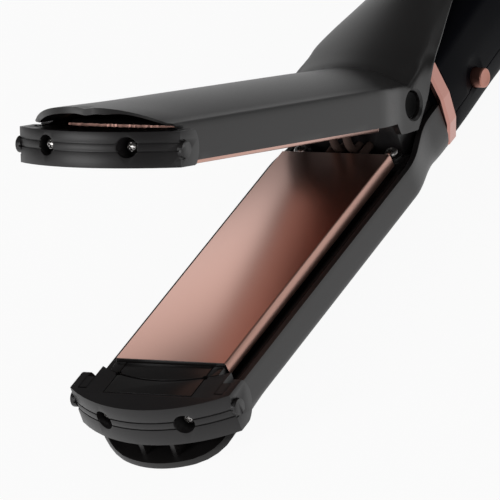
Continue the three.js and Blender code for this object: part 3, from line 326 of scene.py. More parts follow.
def backOutline(section, cornerSteps=6, crownSteps=14):
    # from the right rim over the crown to the left rim, as [x, depth]
    half, inset, soft = section["half"], section["inset"], section["softness"]
    flank = half - inset
    middle = (section["side"] + section["ridge"]) / 2
    bend = (half - inset * 0.5 * (1 - soft), mix(middle, section["ridge"], soft))
    right = [(half, mix(section["rim"], section["side"], i / 4)) for i in range(4)]
    for i in range(cornerSteps + 1):
        t = i / cornerSteps
        a, b, c = (1 - t) ** 2, 2 * t * (1 - t), t * t
        right.append((a * half + b * bend[0] + c * flank,
                      a * section["side"] + b * bend[1] + c * section["ridge"]))
    for i in range(1, crownSteps):
        x = flank * (1 - i / crownSteps)
        right.append((x, crownDepth(section, x)))
    return right + [(0, section["crown"])] + [(-x, depth) for x, depth in reversed(right)]


def lowerSection(y):
    neck = ease(y, *tong["neckChange"])
    lipStart = lipFront + tong["lipStart"]
    lip = 1 - ease(y, lipStart, lipStart + tong["lipBlend"])
    lipRidge = closeUp - tong["lipDrop"]
    return {
        "half": mix(tong["half"], tong["neckHalf"], ease(y, *tong["neckHalfChange"])),
        "rim": mix(tong["lowerRim"], tong["neckRim"], ease(y, *tong["neckRimChange"])),
        "side": mix(tong["lowerSide"], tong["neckSide"], neck),
        "inset": mix(mix(tong["cornerInset"], tong["neckInset"], neck), tong["lipCornerInset"], lip),
        "ridge": mix(mix(tong["lowerRidge"], tong["neckRidge"], neck), lipRidge, lip),
        "crown": closeUp,
        "softness": mix(1, tong["lipSoftness"], lip),
    }


def upperSection(s):
    # r is measured from the pivot, square to the arm
    drop = tong["pivotHeight"]
    side = mix(tong["upperSide"] - drop, tong["earSide"], ease(s, *tong["earChange"]))
    notch = min(max((s + tong["notchStart"]) / (tong["notchStart"] - tong["notchEnd"]), 0), 1)
    return {
        "half": mix(tong["half"], tong["earHalf"], ease(s, *tong["earHalfChange"])),
        "rim": mix(tong["upperRim"] - drop, -tong["earRadius"] - tong["earOverlap"], notch),
        "side": side,
        "inset": tong["cornerInset"],
        "ridge": side + tong["upperRidge"] - tong["upperSide"],
        "crown": tong["upperCrown"] - drop - tong["tipGrowth"] * s / tong["lipReach"],
        "softness": 1,
    }


def hoodSection(share):
    # a smooth curve runs through the rows
    rows = hoodRows
    k = next((i for i in range(len(rows) - 1) if share <= rows[i + 1][0]), len(rows) - 2)
    start, end = rows[k], rows[k + 1]
    before, after = rows[max(k - 1, 0)], rows[min(k + 2, len(rows) - 1)]
    span = end[0] - start[0]
    t = (share - start[0]) / span
    values = []
    for i in range(1, 5):
        p1, p2 = start[i], end[i]
        m1 = (p2 - before[i]) / (end[0] - before[0]) * span
        m2 = (after[i] - p1) / (after[0] - start[0]) * span
        values.append((2 * t ** 3 - 3 * t ** 2 + 1) * p1 + (t ** 3 - 2 * t ** 2 + t) * m1
                      + (3 * t ** 2 - 2 * t ** 3) * p2 + (t ** 3 - t ** 2) * m2)
    wider, rim, ridge, crown = values
    base = tong["upperCrown"] - tong["pivotHeight"]
    slant = ease(share, *hood["slant"])
    cornerRise = tong["upperRidge"] - tong["upperSide"]
    return {
        "half": tong["earHalf"] + wider,
        "rim": base + rim,
        "side": base + mix(ridge - cornerRise, rim + hood["rimSide"], slant),
        "inset": mix(tong["cornerInset"], hood["edgeInset"], slant),
        "ridge": base + ridge,
        "crown": base + crown,
        "softness": mix(1, hood["softness"], slant),
    }


def lipShift(x, s):
    # the front edge follows the round lip, and the shift fades out over lipFade
    lip = tong["lipRadius"]
    back = lip - math.sqrt(max(lip * lip - x * x, 0))
    return s + back * (1 - ease(s, lipFront, lipFront + tong["lipFade"]))


def lippedOutline(sectionAt, s):
    # [x, depth, s] on the section where each point really lies
    points = []
    for k, (x, depth) in enumerate(backOutline(sectionAt(s))):
        place = lipShift(x, s)
        x, depth = backOutline(sectionAt(place))[k]
        points.append((x, depth, place))
    return points


def inArm(x, s, r, turn):
    # a place in the arm, fanned about the pivot: turn 0 is along the arm, 1 along the hood
    angle = openAngle * (turn - 1)
    c, n = math.cos(angle), math.sin(angle)
    return Vector((x, s * c - r * n, pivotUp + s * n + r * c)) * mm


def sheetPiece(name, rings):
    # a grid bent to the rings, with its faces outwards
    deselectAll()
    across, along = len(rings[0]) - 1, len(rings) - 1
    bpy.ops.mesh.primitive_grid_add(x_subdivisions=across, y_subdivisions=along, size=2)
    piece = bpy.context.object
    piece.name = name
    for vertex in piece.data.vertices:
        i = round((vertex.co.x + 1) / 2 * across)
        j = round((vertex.co.y + 1) / 2 * along)
        vertex.co = rings[j][i]
    piece.data.update()
    return piece


def loftSolid(name, rings):
    # rings are closed lists of points in mm, with no point repeated
    closed = [[Vector(point) * mm for point in ring + ring[:1]] for ring in rings]
    piece = sheetPiece(name, closed)
    # the folded grid becomes one skin, with its open ends closed
    editMesh(piece, (bpy.ops.mesh.remove_doubles, {"threshold": 0.004 * mm}),
             (bpy.ops.mesh.dissolve_degenerate, {"threshold": 0.002 * mm}),
             (bpy.ops.mesh.fill_holes, {"sides": 0}),
             (bpy.ops.mesh.normals_make_consistent, {"inside": False}))
    return piece


def turnedSolid(name, axis, profile, centre, steps=48):
    # profile pairs are [radius, place along the axis] from the centre, in mm
    rings = []
    for radius, place in profile:
        ring = []
        for i in range(steps):
            turn = 2 * math.pi * i / steps
            spot = [max(radius, 0.001) * way(turn) for way in (math.cos, math.sin)]
            spot.insert(axis, place)
            ring.append([spot[k] + centre[k] for k in range(3)])
        rings.append(ring)
    return loftSolid(name, rings)


def cutAway(piece, cutter, operation="DIFFERENCE"):
    applyModifier(piece, "BOOLEAN", operation=operation, solver="EXACT", use_self=True, object=cutter)
    bpy.data.objects.remove(cutter)


def boxCutter(low, high):
    deselectAll()
    low, high = Vector(low) * mm, Vector(high) * mm
    bpy.ops.mesh.primitive_cube_add(size=1, location=(low + high) / 2, scale=high - low)
    bpy.ops.object.transform_apply(location=True, rotation=True, scale=True)
    return bpy.context.object


def tipBox(rear, low, high):
    # across the whole tip, in front of rear
    return boxCutter((-beyond["side"], beyond["front"], low), (beyond["side"], rear, high))


def copyOf(source, name):
    piece = bpy.data.objects.new(name, source.data.copy())
    bpy.context.scene.collection.objects.link(piece)
    return piece


def settle(piece, sign=1, back=False):
    # a piece of the upper half, sign 1, goes from the closed pose to the open one, or back
    pivot = Matrix.Translation((0, 0, pivotZ))
    turn = pivot @ Matrix.Rotation(-openAngle, 4, "X") @ pivot.inverted()
    if sign > 0:
        piece.data.transform(turn.inverted() if back else turn)


def finishShell(piece, node):
    # one clean skin, then soft edges
    editMesh(piece, (bpy.ops.mesh.remove_doubles, {"threshold": 0.01 * mm}),
             (bpy.ops.mesh.normals_make_consistent, {"inside": False}))
    finishPiece(piece, node, bevel=tong["softEdge"], angle=30, segments=3, limit=38)


def addWall(piece, up):
    # the wall grows inwards; up says which way the crown faces
    crown = max(piece.data.polygons, key=lambda face: face.center.z * up)
    if crown.normal.z * up < 0:
        piece.data.flip_normals()
    applyModifier(piece, "SOLIDIFY", thickness=tong["wall"] * mm, offset=-1, use_even_offset=True)


def lowerShell():
    # close together along the lip and along the neck
    stations = [lipFront + i * 1.5 for i in range(20)] + [lipFront + 30 + i * 8 for i in range(13)]
    stations += [-18 + i * 1.2 for i in range(27)] + [tong["rearEnd"]]
    rings = []
    for y in stations:
        outline = lippedOutline(lowerSection, y)
        rings.append([Vector((x, place, closeUp - depth)) * mm for x, depth, place in outline])
    piece = sheetPiece("lower_shell_moulded", rings)
    addWall(piece, -1)
    capFloor = closeUp - capClear["lowerDepth"]
    cutAway(piece, tipBox(capClear["cheekEnd"], capFloor, closeUp + beyond["height"]))
    finishShell(piece, "lower_shell")
    for name, side in sides:
        scoopRib(name, side, capFloor - rib["gap"])


def scoopRib(name, side, top):
    # one of the two ribs that stiffen the scoop of the lip
    x, half = side * rib["pitch"] / 2, rib["width"] / 2
    front = (x - half, lipFront + rib["front"], tong["wall"] * rib["foot"])
    piece = boxCutter(front, (x + half, capClear["cheekEnd"] + rib["rear"], top))
    piece.name = f"scoop_rib_{name}"
    applyModifier(piece, "BEVEL", width=rib["softEdge"] * mm, segments=2)
    smoothEdges(piece)
    piece.data.materials.append(finish["charcoal_shell"])
    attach(piece, "lower_half")


def lipFullness(x, s):
    # the canopy's crown is fuller beside its middle, near the tip
    u = min((x / (tong["half"] - tong["cornerInset"])) ** 2, 1)
    return canopy["full"] * 4 * u * (1 - u) * (1 - ease(s, lipFront, lipFront + canopy["fullLength"]))


def thinLip(piece):
    # from inside, the canopy's wall thins towards the right end of its lip
    front, rear = lipFront - canopy["beyond"], capClear["cheekEnd"] + canopy["beyond"]
    low = capClear["upperDepth"] - tong["pivotHeight"] - canopy["below"]
    rings = []
    for i in range(15):
        x = mix(canopy["start"], canopy["side"], i / 14)
        wall = mix(tong["wall"] + canopy["spare"], canopy["endWall"], ease(x, *canopy["change"]))
        ring = [(s, crownDepth(upperSection(s), x) + lipFullness(x, s) - wall) for s in (front, rear)]
        rings.append([inArm(x, s, r, 0) / mm for s, r in ring + [(rear, low), (front, low)]])
    cutAway(piece, loftSolid("lip_hollow", rings))


def upperShell():
    rings = []

    def addRing(section, s, turn):
        rings.append([inArm(x, s, r, turn) for x, r in backOutline(section)])

    # close together along the lip and at the ears
    stations = [lipFront + i * 1.5 for i in range(14)] + [lipFront + 21 + i * 9 for i in range(11)]
    stations += [-30, -27, -24, -21, -18, -15, -12.5, -tong["notchStart"], -9, -tong["notchEnd"], -6, -4.5]
    for s in stations:
        # the lip of the canopy is slightly dented beside its middle
        sink = tong["dentDepth"] * (1 - ease(s, lipFront, lipFront + tong["dentLength"]))
        ring = []
        for x, r, place in lippedOutline(upperSection, s):
            hollow = max(1 - ((x - tong["dentX"]) / tong["dentHalf"]) ** 2, 0) if r > 0 else 0
            full = lipFullness(x, place) if r > 0 else 0
            ring.append(inArm(x, place, r - sink * hollow + full, 0))
        rings.append(ring)
    # one section at the pivot, halfway round, joins the arm to the hood
    crease = upperSection(stations[-1])
    crease["rim"] = -tong["earRadius"]
    crease["crown"] = (tong["upperCrown"] - tong["pivotHeight"]) / math.cos(openAngle / 2)
    addRing(crease, 0, 0.5)
    for i in range(hood["steps"] + 1):
        share = mix(hoodRows[0][0], 1, i / hood["steps"])
        addRing(hoodSection(share), share * hood["length"], 1)
    piece = sheetPiece("upper_shell_moulded", rings)
    addWall(piece, 1)

    # room for the cap, and a slot above it, as the canopy's ends stand clear of it
    capTop = closeUp + capClear["upperDepth"]
    room = tipBox(capClear["cheekEnd"], closeUp - beyond["height"], capTop)
    slot = tipBox(capClear["slotEnd"], capTop - beyond["overlap"], closeUp + capClear["slotTop"])
    for cutter in (room, slot):
        settle(cutter)
        cutAway(piece, cutter)
    thinLip(piece)
    # the holes for the pins, with a bevelled edge
    hole, face, bevel, out = tong["pinHoleRadius"], tong["earHalf"], tong["pinBevel"], beyond["pin"]
    profile = [[0, out], [hole + 3 * bevel, out], [hole + 3 * bevel, face + 2 * bevel], [hole, face - bevel]]
    profile += [[radius, -place] for radius, place in profile[::-1]]
    cutAway(piece, turnedSolid("pin_cutter", 0, profile, (0, 0, pivotUp), 64))
    finishShell(piece, "upper_shell")


lowerShell()
upperShell()


# Soft-edged copies of the frame's solids

softEdges = {
    # node: bevel width in mm
    "lower_end_cap": 0.35, "upper_end_cap": 0.35,
    "lower_plate_carrier": 0.2, "upper_plate_carrier": 0.2,
    "lower_plate": 0.14, "upper_plate": 0.14,
    "hinge_block": 0.3, "cord_bush": 0.3,
}
# The folded sides of the plates lie outside "from", and lean from "in" to "out", in mm
fold = {"from": 18.3, "depth": 0.2, "height": 3.9, "in": -0.5, "out": 0.8}
cap = {
    # mm; depths run from the closing plane outwards
    "bossY": -134.6, "bossDepth": 6.5, "bossRadius": 2.5, "face": 27.9, "moatRadius": 3.0, "moatShift": 0.45,
    "moatDepth": 0.35, "moatReach": 4,
    "coreSide": 22.5, "earInside": 25.1, "cheekEnd": -135.6, "fillEnd": -130.4, "fillOverlap": 0.2,
    "top": 1.35, "rimDepth": 4.6, "arcRadius": 46.7, "gapLine": 8.3, "plateFront": -122.5, "tongueHalf": 15.2,
    "blockTop": 1.3, "lineWidth": 0.35, "lineBeyond": 2, "grooveWidth": 0.75, "grooveDepth": 0.8,
    "grooveAbove": 1,
}


def bossMoats(piece, sign):
    # a shallow moat lies round each boss, deeper on its tip side
    z, wide, slim = closeUp + sign * cap["bossDepth"], cap["moatRadius"], cap["bossRadius"]
    for side in (-1, 1):
        near, far = side * (cap["face"] - cap["moatDepth"]), side * (cap["face"] + cap["moatReach"])
        moatPlace, corePlace = (0, cap["bossY"] - cap["moatShift"], z), (0, cap["bossY"], z)
        moat = turnedSolid("moat", 0, [[wide, near], [wide, far]], moatPlace)
        core = turnedSolid("moat_core", 0, [[slim, near - side], [slim, far + side]], corePlace)
        cutAway(moat, core)
        settle(moat, sign)
        cutAway(piece, moat)


def cheekFills(piece, sign):
    # the lower cap closes the slot between its ears and its core above the shell's rim
    if sign > 0:
        return
    overlap = cap["fillOverlap"]
    for side in (-1, 1):
        xs = sorted((side * (cap["coreSide"] - overlap), side * (cap["earInside"] + overlap)))
        fillFront = (xs[0], cap["cheekEnd"] - 2 * overlap, closeUp - cap["rimDepth"])
        fill = boxCutter(fillFront, (xs[1], cap["fillEnd"], closeUp - cap["top"]))
        cutAway(piece, fill, "UNION")


def blockGrooves(piece, sign):
    # an arc across the tongue, and the lines where the tongue meets the end block
    def arcY(x):
        sag = cap["arcRadius"] - math.sqrt(cap["arcRadius"] ** 2 - x * x)
        return sag - cap["gapLine"] + cap["plateFront"]

    top = closeUp + sign * (cap["blockTop"] - cap["grooveAbove"])
    floor = closeUp + sign * (cap["blockTop"] + cap["grooveDepth"])
    rings = []
    for i in range(21):
        x = mix(-cap["tongueHalf"], cap["tongueHalf"], i / 20)
        y, half = arcY(x), cap["grooveWidth"] / 2
        rings.append([[x, y - half, top], [x, y + half, top], [x, y + half, floor], [x, y - half, floor]])
    cutters = [loftSolid("arc_groove", rings)]
    for side in (-1, 1):
        x, half = side * cap["tongueHalf"], cap["lineWidth"] / 2
        low, high = sorted((top, floor))
        lineEnd = cap["plateFront"] + cap["lineBeyond"]
        cutters.append(boxCutter((x - half, arcY(x), low), (x + half, lineEnd, high)))
    for cutter in cutters:
        settle(cutter, sign)
        cutAway(piece, cutter)


def foldedSides(piece, sign):
    # the folded sides lean outwards
    settle(piece, sign, back=True)
    for vertex in piece.data.vertices:
        depth = sign * (vertex.co.z - closeZ) / mm
        if abs(vertex.co.x) > fold["from"] * mm:
            share = min(max((depth - fold["depth"]) / fold["height"], 0), 1)
            vertex.co.x += math.copysign(mix(fold["in"], fold["out"], share) * mm, vertex.co.x)
    settle(piece, sign)


shaping = {"plate": [foldedSides], "end_cap": [bossMoats, cheekFills], "plate_carrier": [blockGrooves]}


def softened(node, width):
    piece = copyOf(frame["nodes"][node], node + "_soft")
    editMesh(piece, (bpy.ops.mesh.remove_doubles, {"threshold": 0.01 * mm}),
             (bpy.ops.mesh.dissolve_limited, {"angle_limit": math.radians(0.5)}))
    half, _, kind = node.partition("_")
    for shape in shaping.get(kind, []):
        shape(piece, 1 if half == "upper" else -1)
    if kind == "plate_carrier":
        piece.data.materials[0] = finish["gloss_black"]
    if kind == "plate":
        # the faces square to each plate's length, its ends, take the black gloss finish and show dark
        lengthways = armForward if half == "upper" else Vector((0, 1, 0))
        piece.data.materials.append(finish["gloss_black"])
        for face in piece.data.polygons:
            face.material_index = 1 if abs(face.normal.dot(lengthways)) > 0.8 else 0
    softenEdges(piece, width)
    smoothEdges(piece)
    standFor(piece, node)


for node, width in softEdges.items():
    softened(node, width)


# Handle, collar ring and button

handle = {
    # mm; corners from the top down the right side, as half width and height from the pivot
    "corners": [[10.5, 5.2], [19.8, 2.2], [21.4, -8.2], [20.8, -17.3], [18.3, -24.6], [10.2, -29.4]],
    "insets": [[0.35, 1], [0.8, 0.7], [1, 0], [1, 0], [0.95, 0.45], [0.4, 1]],
    "middle": -11.1, "ringFront": 14.2, "ringRear": 19.6, "ringProud": 0.5, "ringWall": 2.8,
    "front": 19.9, "rear": 152, "rearRound": 3, "wall": 2.4, "taperStart": 90,
    "swell": 0.6, "swellAt": 58, "waist": 0.91, "rearWidth": 0.7, "rearHeight": 0.8,
    "seamDrop": 16.6, "seamGap": 0.32, "bushHole": 6.85,
    "softCorner": 3.0, "crispCorner": 0.1, "spigotRear": 21.6, "spigotOut": 2.65, "spigotIn": 4.2,
    "taperBeyond": 4, "swellEnd": 6, "sideSwell": 0.6, "rearWallExtra": 1,
    "stations": [24, 30, 36, 42, 50, 60, 72, 84, 96, 108, 120, 132, 142],
}
button = {"fromPivot": 36.8, "drop": 15.3, "radius": 3.05, "hole": 3.4, "dishRadius": 6.2, "dishDepth": 0.75,
          "flange": 4.3, "flangeThick": 1.5, "stem": 1.5, "play": 0.35, "rimRound": 0.55, "faceDish": 0.3,
          "holeReach": 6, "dishReach": 5, "dishSpare": 1.25}
buttonPlace = (0, button["fromPivot"], pivotUp - button["drop"])


def waistAt(y):
    return mix(1, handle["waist"], ease(y, handle["ringRear"], handle["swellAt"]))


# Half the width of the handle where the button is
(upperX, upperZ), (lowerX, lowerZ) = handle["corners"][2:4]
buttonFace = mix(upperX, lowerX, (-button["drop"] - upperZ) / (lowerZ - upperZ)) * waistAt(buttonPlace[1])


def handleOutline(y, inset, corner, steps):
    # a closed outline [x, y, z] with each corner eased over the given length
    slim = ease(y, handle["taperStart"], handle["rear"] + handle["taperBeyond"])
    wide, high = mix(waistAt(y), handle["rearWidth"], slim), mix(1, handle["rearHeight"], slim)
    swell = handle["swell"] * ease(y, handle["ringRear"], handle["swellAt"])
    swell *= 1 - ease(y, handle["taperStart"] - handle["swellEnd"], handle["rear"])
    right = []
    for i, (x, z) in enumerate(handle["corners"]):
        lift = swell * (1 if i == 0 else handle["sideSwell"]) if z > 0 else 0
        up = -1 if z > handle["middle"] else 1
        height = handle["middle"] + (z - handle["middle"]) * high + lift
        along, across = handle["insets"][i]
        right.append(Vector((x * wide - along * inset, pivotUp + height + up * across * inset)))
    ring = right + [Vector((-p.x, p.y)) for p in reversed(right)]
    points = []
    for i, spot in enumerate(ring):
        before = spot + (ring[i - 1] - spot).normalized() * corner
        after = spot + (ring[(i + 1) % len(ring)] - spot).normalized() * corner
        for k in range(steps + 1):
            t = k / steps
            eased = before * (1 - t) ** 2 + spot * 2 * t * (1 - t) + after * t * t
            points.append([eased.x, y, eased.y])
    return points


def collarRing():
    # crisp facets, flush underneath so that the tool lies flat
    outer, inner = [], []
    for y in (handle["ringFront"], handle["ringRear"]):
        shape = handleOutline(handle["ringRear"], -handle["ringProud"], handle["crispCorner"], 1)
        outer.append([[x, y, max(z, 0)] for x, _, z in shape])
        inset = handle["ringWall"] - handle["ringProud"]
        shape = handleOutline(handle["ringRear"], inset, handle["crispCorner"], 1)
        inner.append([[x, y, z] for x, _, z in shape])
    piece = loftSolid("collar_ring_faceted", [outer[0], outer[1], inner[1], inner[0], outer[0]])
    finishPiece(piece, "collar_ring", bevel=0.7, angle=4, segments=1, limit=70)


def handleShells():
    soft, steps, wall = handle["softCorner"], 4, handle["wall"]
    stations = [handle["front"]] + handle["stations"]
    rearInside = handle["rear"] - wall - handle["rearWallExtra"]
    rings = [handleOutline(y, 0, soft, steps) for y in stations]
    inner = [handleOutline(y, wall, soft, steps) for y in stations + [rearInside]]
    rounding = handle["rearRound"]
    for i in range(5):
        turn = math.pi / 2 * i / 4
        y = handle["rear"] - rounding * (1 - math.sin(turn))
        rings.append(handleOutline(y, rounding * (1 - math.cos(turn)), soft, steps))
    middle = pivotUp + handle["middle"]

    def holeRing(y):
        # the hole for the bush, with a point for each point of the outline
        around = [handle["bushHole"] / math.hypot(x, z - middle) for x, _, z in rings[-1]]
        return [[x * k, y, middle + (z - middle) * k] for k, (x, _, z) in zip(around, rings[-1])]

    rings += [holeRing(handle["rear"]), holeRing(rearInside)]
    piece = loftSolid("handle_tube", rings + inner[::-1] + rings[:1])

    def sleeveRing(y, inset):
        return [[x, y, z] for x, _, z in handleOutline(handle["ringRear"], inset, 1, 2)]

    front, rear = handle["ringFront"] + 0.1, handle["spigotRear"]
    out, into = handle["spigotOut"], handle["spigotIn"]
    sleeve = [sleeveRing(front, out), sleeveRing(rear, out), sleeveRing(rear, into), sleeveRing(front, into)]
    spigot = loftSolid("handle_spigot", sleeve + sleeve[:1])

    # the button's hole, in a shallow round dish
    face, reach = buttonFace, button["holeReach"]
    holeWall = [[button["hole"], face - reach], [button["hole"], face + reach]]
    cutAway(piece, turnedSolid("button_hole", 0, holeWall, buttonPlace))
    deep, wide = button["dishDepth"], button["dishRadius"]
    radius = (wide * wide + deep * deep) / (2 * deep)
    turns = [math.asin(min(button["dishSpare"] * wide / radius, 1)) * i / 12 for i in range(13)]
    bowl = [[radius * math.sin(a), face - deep + radius * (1 - math.cos(a))] for a in turns]
    bowl.append([0, face + button["dishReach"]])
    cutAway(piece, turnedSolid("button_dish", 0, bowl, buttonPlace, 64))

    # each half is what a cutter beyond the seam leaves
    seam, gap = pivotUp - handle["seamDrop"], handle["seamGap"] / 2
    halves = {"upper": (beyond["handleLow"], seam + gap), "lower": (seam - gap, beyond["handleTop"])}
    side, rear = beyond["handleSide"], beyond["handleRear"]
    for half, (low, high) in halves.items():
        parts = []
        for source in (piece, spigot):
            part = copyOf(source, f"handle_{half}_{source.name}")
            cutAway(part, boxCutter((-side, 0, low), (side, rear, high)))
            parts.append(part)
        deselectAll()
        for part in parts:
            part.select_set(True)
        bpy.context.view_layer.objects.active = parts[0]
        bpy.ops.object.join()
        parts[0].name = f"handle_{half}_shell_moulded"
        finishPiece(parts[0], f"handle_{half}_shell", bevel=0.22, angle=32, limit=50)
    bpy.data.objects.remove(piece)
    bpy.data.objects.remove(spigot)


def powerButton():
    low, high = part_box("power_button")
    face = high.x / mm
    rim, soft, dish = button["radius"], button["rimRound"], button["faceDish"]
    inside, stem = buttonFace - handle["wall"] - button["play"], button["stem"]
    flangeBack = inside - button["flangeThick"]
    profile = [[0, low.x / mm], [stem, low.x / mm], [stem, flangeBack], [button["flange"], flangeBack],
               [button["flange"], inside], [rim, inside]]
    for i in range(6):
        turn = math.pi / 2 * i / 5
        profile.append([rim - soft * (1 - math.cos(turn)), face - soft * (1 - math.sin(turn))])
    for share in (0.75, 0.5, 0.25, 0):
        profile.append([(rim - soft) * share, face - dish * (1 - share ** 4)])
    piece = finishPiece(turnedSolid("power_button_turned", 0, profile, buttonPlace, 64), "power_button")
    piece.data.materials[0] = finish["satin_rose"]


pin = {
    # mm; the head's face as radius and height over its edge
    "shank": 2.5, "shankLength": 7.6, "head": 4.15, "sunk": 1.3,
    "face": [[4.15, -0.4], [3.8, 0], [3.2, -0.1], [2.4, -0.4], [1.2, -0.55], [0, -0.6]],
}


def hingePins():
    # sunk heads with a shallow dimple, in a black darker than the moulding: painted shade of the deep holes
    for name, side in sides:
        node = f"hinge_pin_{name}"
        low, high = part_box(node)
        inner = (low.x if side > 0 else -high.x) / mm
        shoulder, face = inner + pin["shankLength"], tong["earHalf"] - pin["sunk"]
        profile = [[0, inner], [pin["shank"], inner], [pin["shank"], shoulder], [pin["head"], shoulder]]
        profile += [[radius, face + rise] for radius, rise in pin["face"]]
        profile = [[radius, side * place] for radius, place in profile]
        piece = turnedSolid(node + "_turned", 0, profile, (0, 0, pivotUp))
        finishPiece(piece, node, bevel=0.12)
        # the near-black finish is painted shade in the pin holes
        piece.data.materials[0] = finish["painted_shade_black"]


collarRing()
handleShells()
powerButton()
hingePins()


# Screws, leads, spring and back plate

screw = {
    # mm; the dome as shares of the head's radius and height
    "head": 1.7, "shank": 1.0, "slot": 0.3, "slotReach": 0.62, "slotDepth": 0.95,
    "dome": [[0, 0], [0.4, 0.04], [0.72, 0.17], [0.92, 0.4], [1, 0.65], [1, 1]],
}
capScrew = {"x": 14, "y": -141.0, "depth": 7.35, "radius": 1.8, "length": 14.0}
rearScrew = {"x": 16.2, "y": -10.8, "depth": 2.0, "radius": 2.1, "length": 9.0}


def crossScrew(node, axis, centre, direction, radius, length):
    # a domed head with a cross recess; it faces back along its shank
    profile = [[radius * r, direction * screw["head"] * t] for r, t in screw["dome"]]
    end = screw["head"] + length
    profile += [[screw["shank"], direction * screw["head"]], [screw["shank"], direction * end],
                [0, direction * end]]
    piece = turnedSolid(node + "_turned", axis, profile, centre, 32)
    for arm in (k for k in range(3) if k != axis):
        low = [c - screw["slot"] for c in centre]
        high = [c + screw["slot"] for c in centre]
        reach = radius * screw["slotReach"]
        low[arm], high[arm] = centre[arm] - reach, centre[arm] + reach
        ends = (centre[axis] - direction, centre[axis] + direction * screw["slotDepth"])
        low[axis], high[axis] = sorted(ends)
        cutAway(piece, boxCutter(low, high))
    if node.startswith("upper"):
        settle(piece)
    finishPiece(piece, node, bevel=0.08)


def screws():
    for half, sign in (("lower", -1), ("upper", 1)):
        for name, side in sides:
            for kind, row, axis, way in (("cap", capScrew, 1, 1), ("rear", rearScrew, 2, sign)):
                centre = (side * row["x"], row["y"], closeUp + sign * row["depth"])
                crossScrew(f"{half}_{kind}_screw_{name}", axis, centre, way, row["radius"], row["length"])


def smoothRoute(points, steps=8):
    # a rounded curve through the points
    spots = [Vector(point) for point in points]
    spots = [2 * spots[0] - spots[1]] + spots + [2 * spots[-1] - spots[-2]]
    route = []
    for a, b, c, d in zip(spots, spots[1:], spots[2:], spots[3:]):
        for i in range(steps):
            t = i / steps
            route.append(0.5 * (2 * b + (c - a) * t + (2 * a - 5 * b + 4 * c - d) * t * t
                                + (3 * b - a - 3 * c + d) * t ** 3))
    return route + [spots[-2]]


def sweptSolid(name, route, radius, steps=12):
    # a round wire along the route, its frame carried along without twisting
    normal = Vector((1, 0, 0))
    rings = []
    for i, spot in enumerate(route):
        ahead = (route[min(i + 1, len(route) - 1)] - route[max(i - 1, 0)]).normalized()
        if abs(normal.dot(ahead)) > 0.95:
            normal = Vector((0, 0, 1))
        normal = (normal - ahead * normal.dot(ahead)).normalized()
        other = ahead.cross(normal)
        turns = [2 * math.pi * k / steps for k in range(steps)]
        rings.append([list(spot + radius * (math.cos(a) * normal + math.sin(a) * other)) for a in turns])
    return loftSolid(name, rings)


lead = {
    # mm; climb gives places along the tool and heights over the lower run, and blend the place
    # where it starts to follow the upper half, then the place and height where it does wholly
    "radius": 1.3, "depth": 3.9, "lowerX": 5.9, "upperX": 2.5, "heaterEnd": -19.7,
    "lowerRun": [-8, 6], "climb": [[6, 0], [-7, 0], [-10.4, 1.1], [-11.6, 4.6], [-11.2, 9]],
    "alongArm": [-12.6, -15.5, -19.7], "blend": (-7, -11.4, 29.0),
}


def leads():
    # woven sleeves: the outer pair feeds the lower heater, the inner pair climbs into the arm
    depth, run = lead["depth"], closeUp - lead["depth"]
    for name, side in sides:
        x = side * lead["lowerX"]
        route = smoothRoute([[x, y, run] for y in [lead["heaterEnd"]] + lead["lowerRun"]])
        finishPiece(sweptSolid(f"lower_lead_{name}_woven", route, lead["radius"]), f"lower_lead_{name}")
        x = side * lead["upperX"]
        route = [[x, y, run + rise] for y, rise in lead["climb"]]
        for s in lead["alongArm"]:
            route.append([value / mm for value in inArm(x, s, depth - tong["pivotHeight"], 0)])
        piece = sweptSolid(f"upper_lead_{name}_woven", smoothRoute(route), lead["radius"])
        finishPiece(piece, f"upper_lead_{name}", rides=False)
        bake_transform(piece)


coil = {"radius": 3.3, "wire": 0.6, "half": 5.4, "turns": 6, "turnSteps": 20, "leg": 8.0, "upperLegExtra": 2}


def spring():
    # a torsion spring round the pivot, with a straight leg to each half
    radius, half, leg = coil["radius"], coil["half"], coil["leg"]
    first, last = -math.pi / 2, math.pi / 2 - openAngle + 2 * math.pi * (coil["turns"] - 1)
    steps = coil["turnSteps"] * coil["turns"]
    route = [Vector((-half, -reach, pivotUp - radius)) for reach in (leg, leg / 2)]
    for i in range(steps + 1):
        turn = mix(first, last, i / steps)
        x = mix(-half, half, i / steps)
        route.append(Vector((x, radius * math.cos(turn), pivotUp + radius * math.sin(turn))))
    coilEnd = route[-1]
    route += [coilEnd + armForward * reach for reach in (leg / 2, leg + coil["upperLegExtra"])]
    piece = sweptSolid("hinge_spring_coiled", route, coil["wire"], 10)
    finishPiece(piece, "hinge_spring", rides=False)
    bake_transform(piece)


backSheet = {
    # mm; rows from the front as place along the arm, depth and half width
    "thick": 0.8, "across": 70, "seed": 11, "ragged": 0.12, "lift": 0.15, "rows": [
        [-124.2, 11.1, 18.9], [-123.4, 11.1, 18.9], [-122.6, 11.15, 18.9], [-121.6, 11.9, 18.9],
        [-120.8, 12.1, 18.9], [-119, 12.1, 18.9], [-118, 12.1, 18.6], [-70, 12.1, 18.6], [-19.8, 12.1, 18.6],
    ],
}


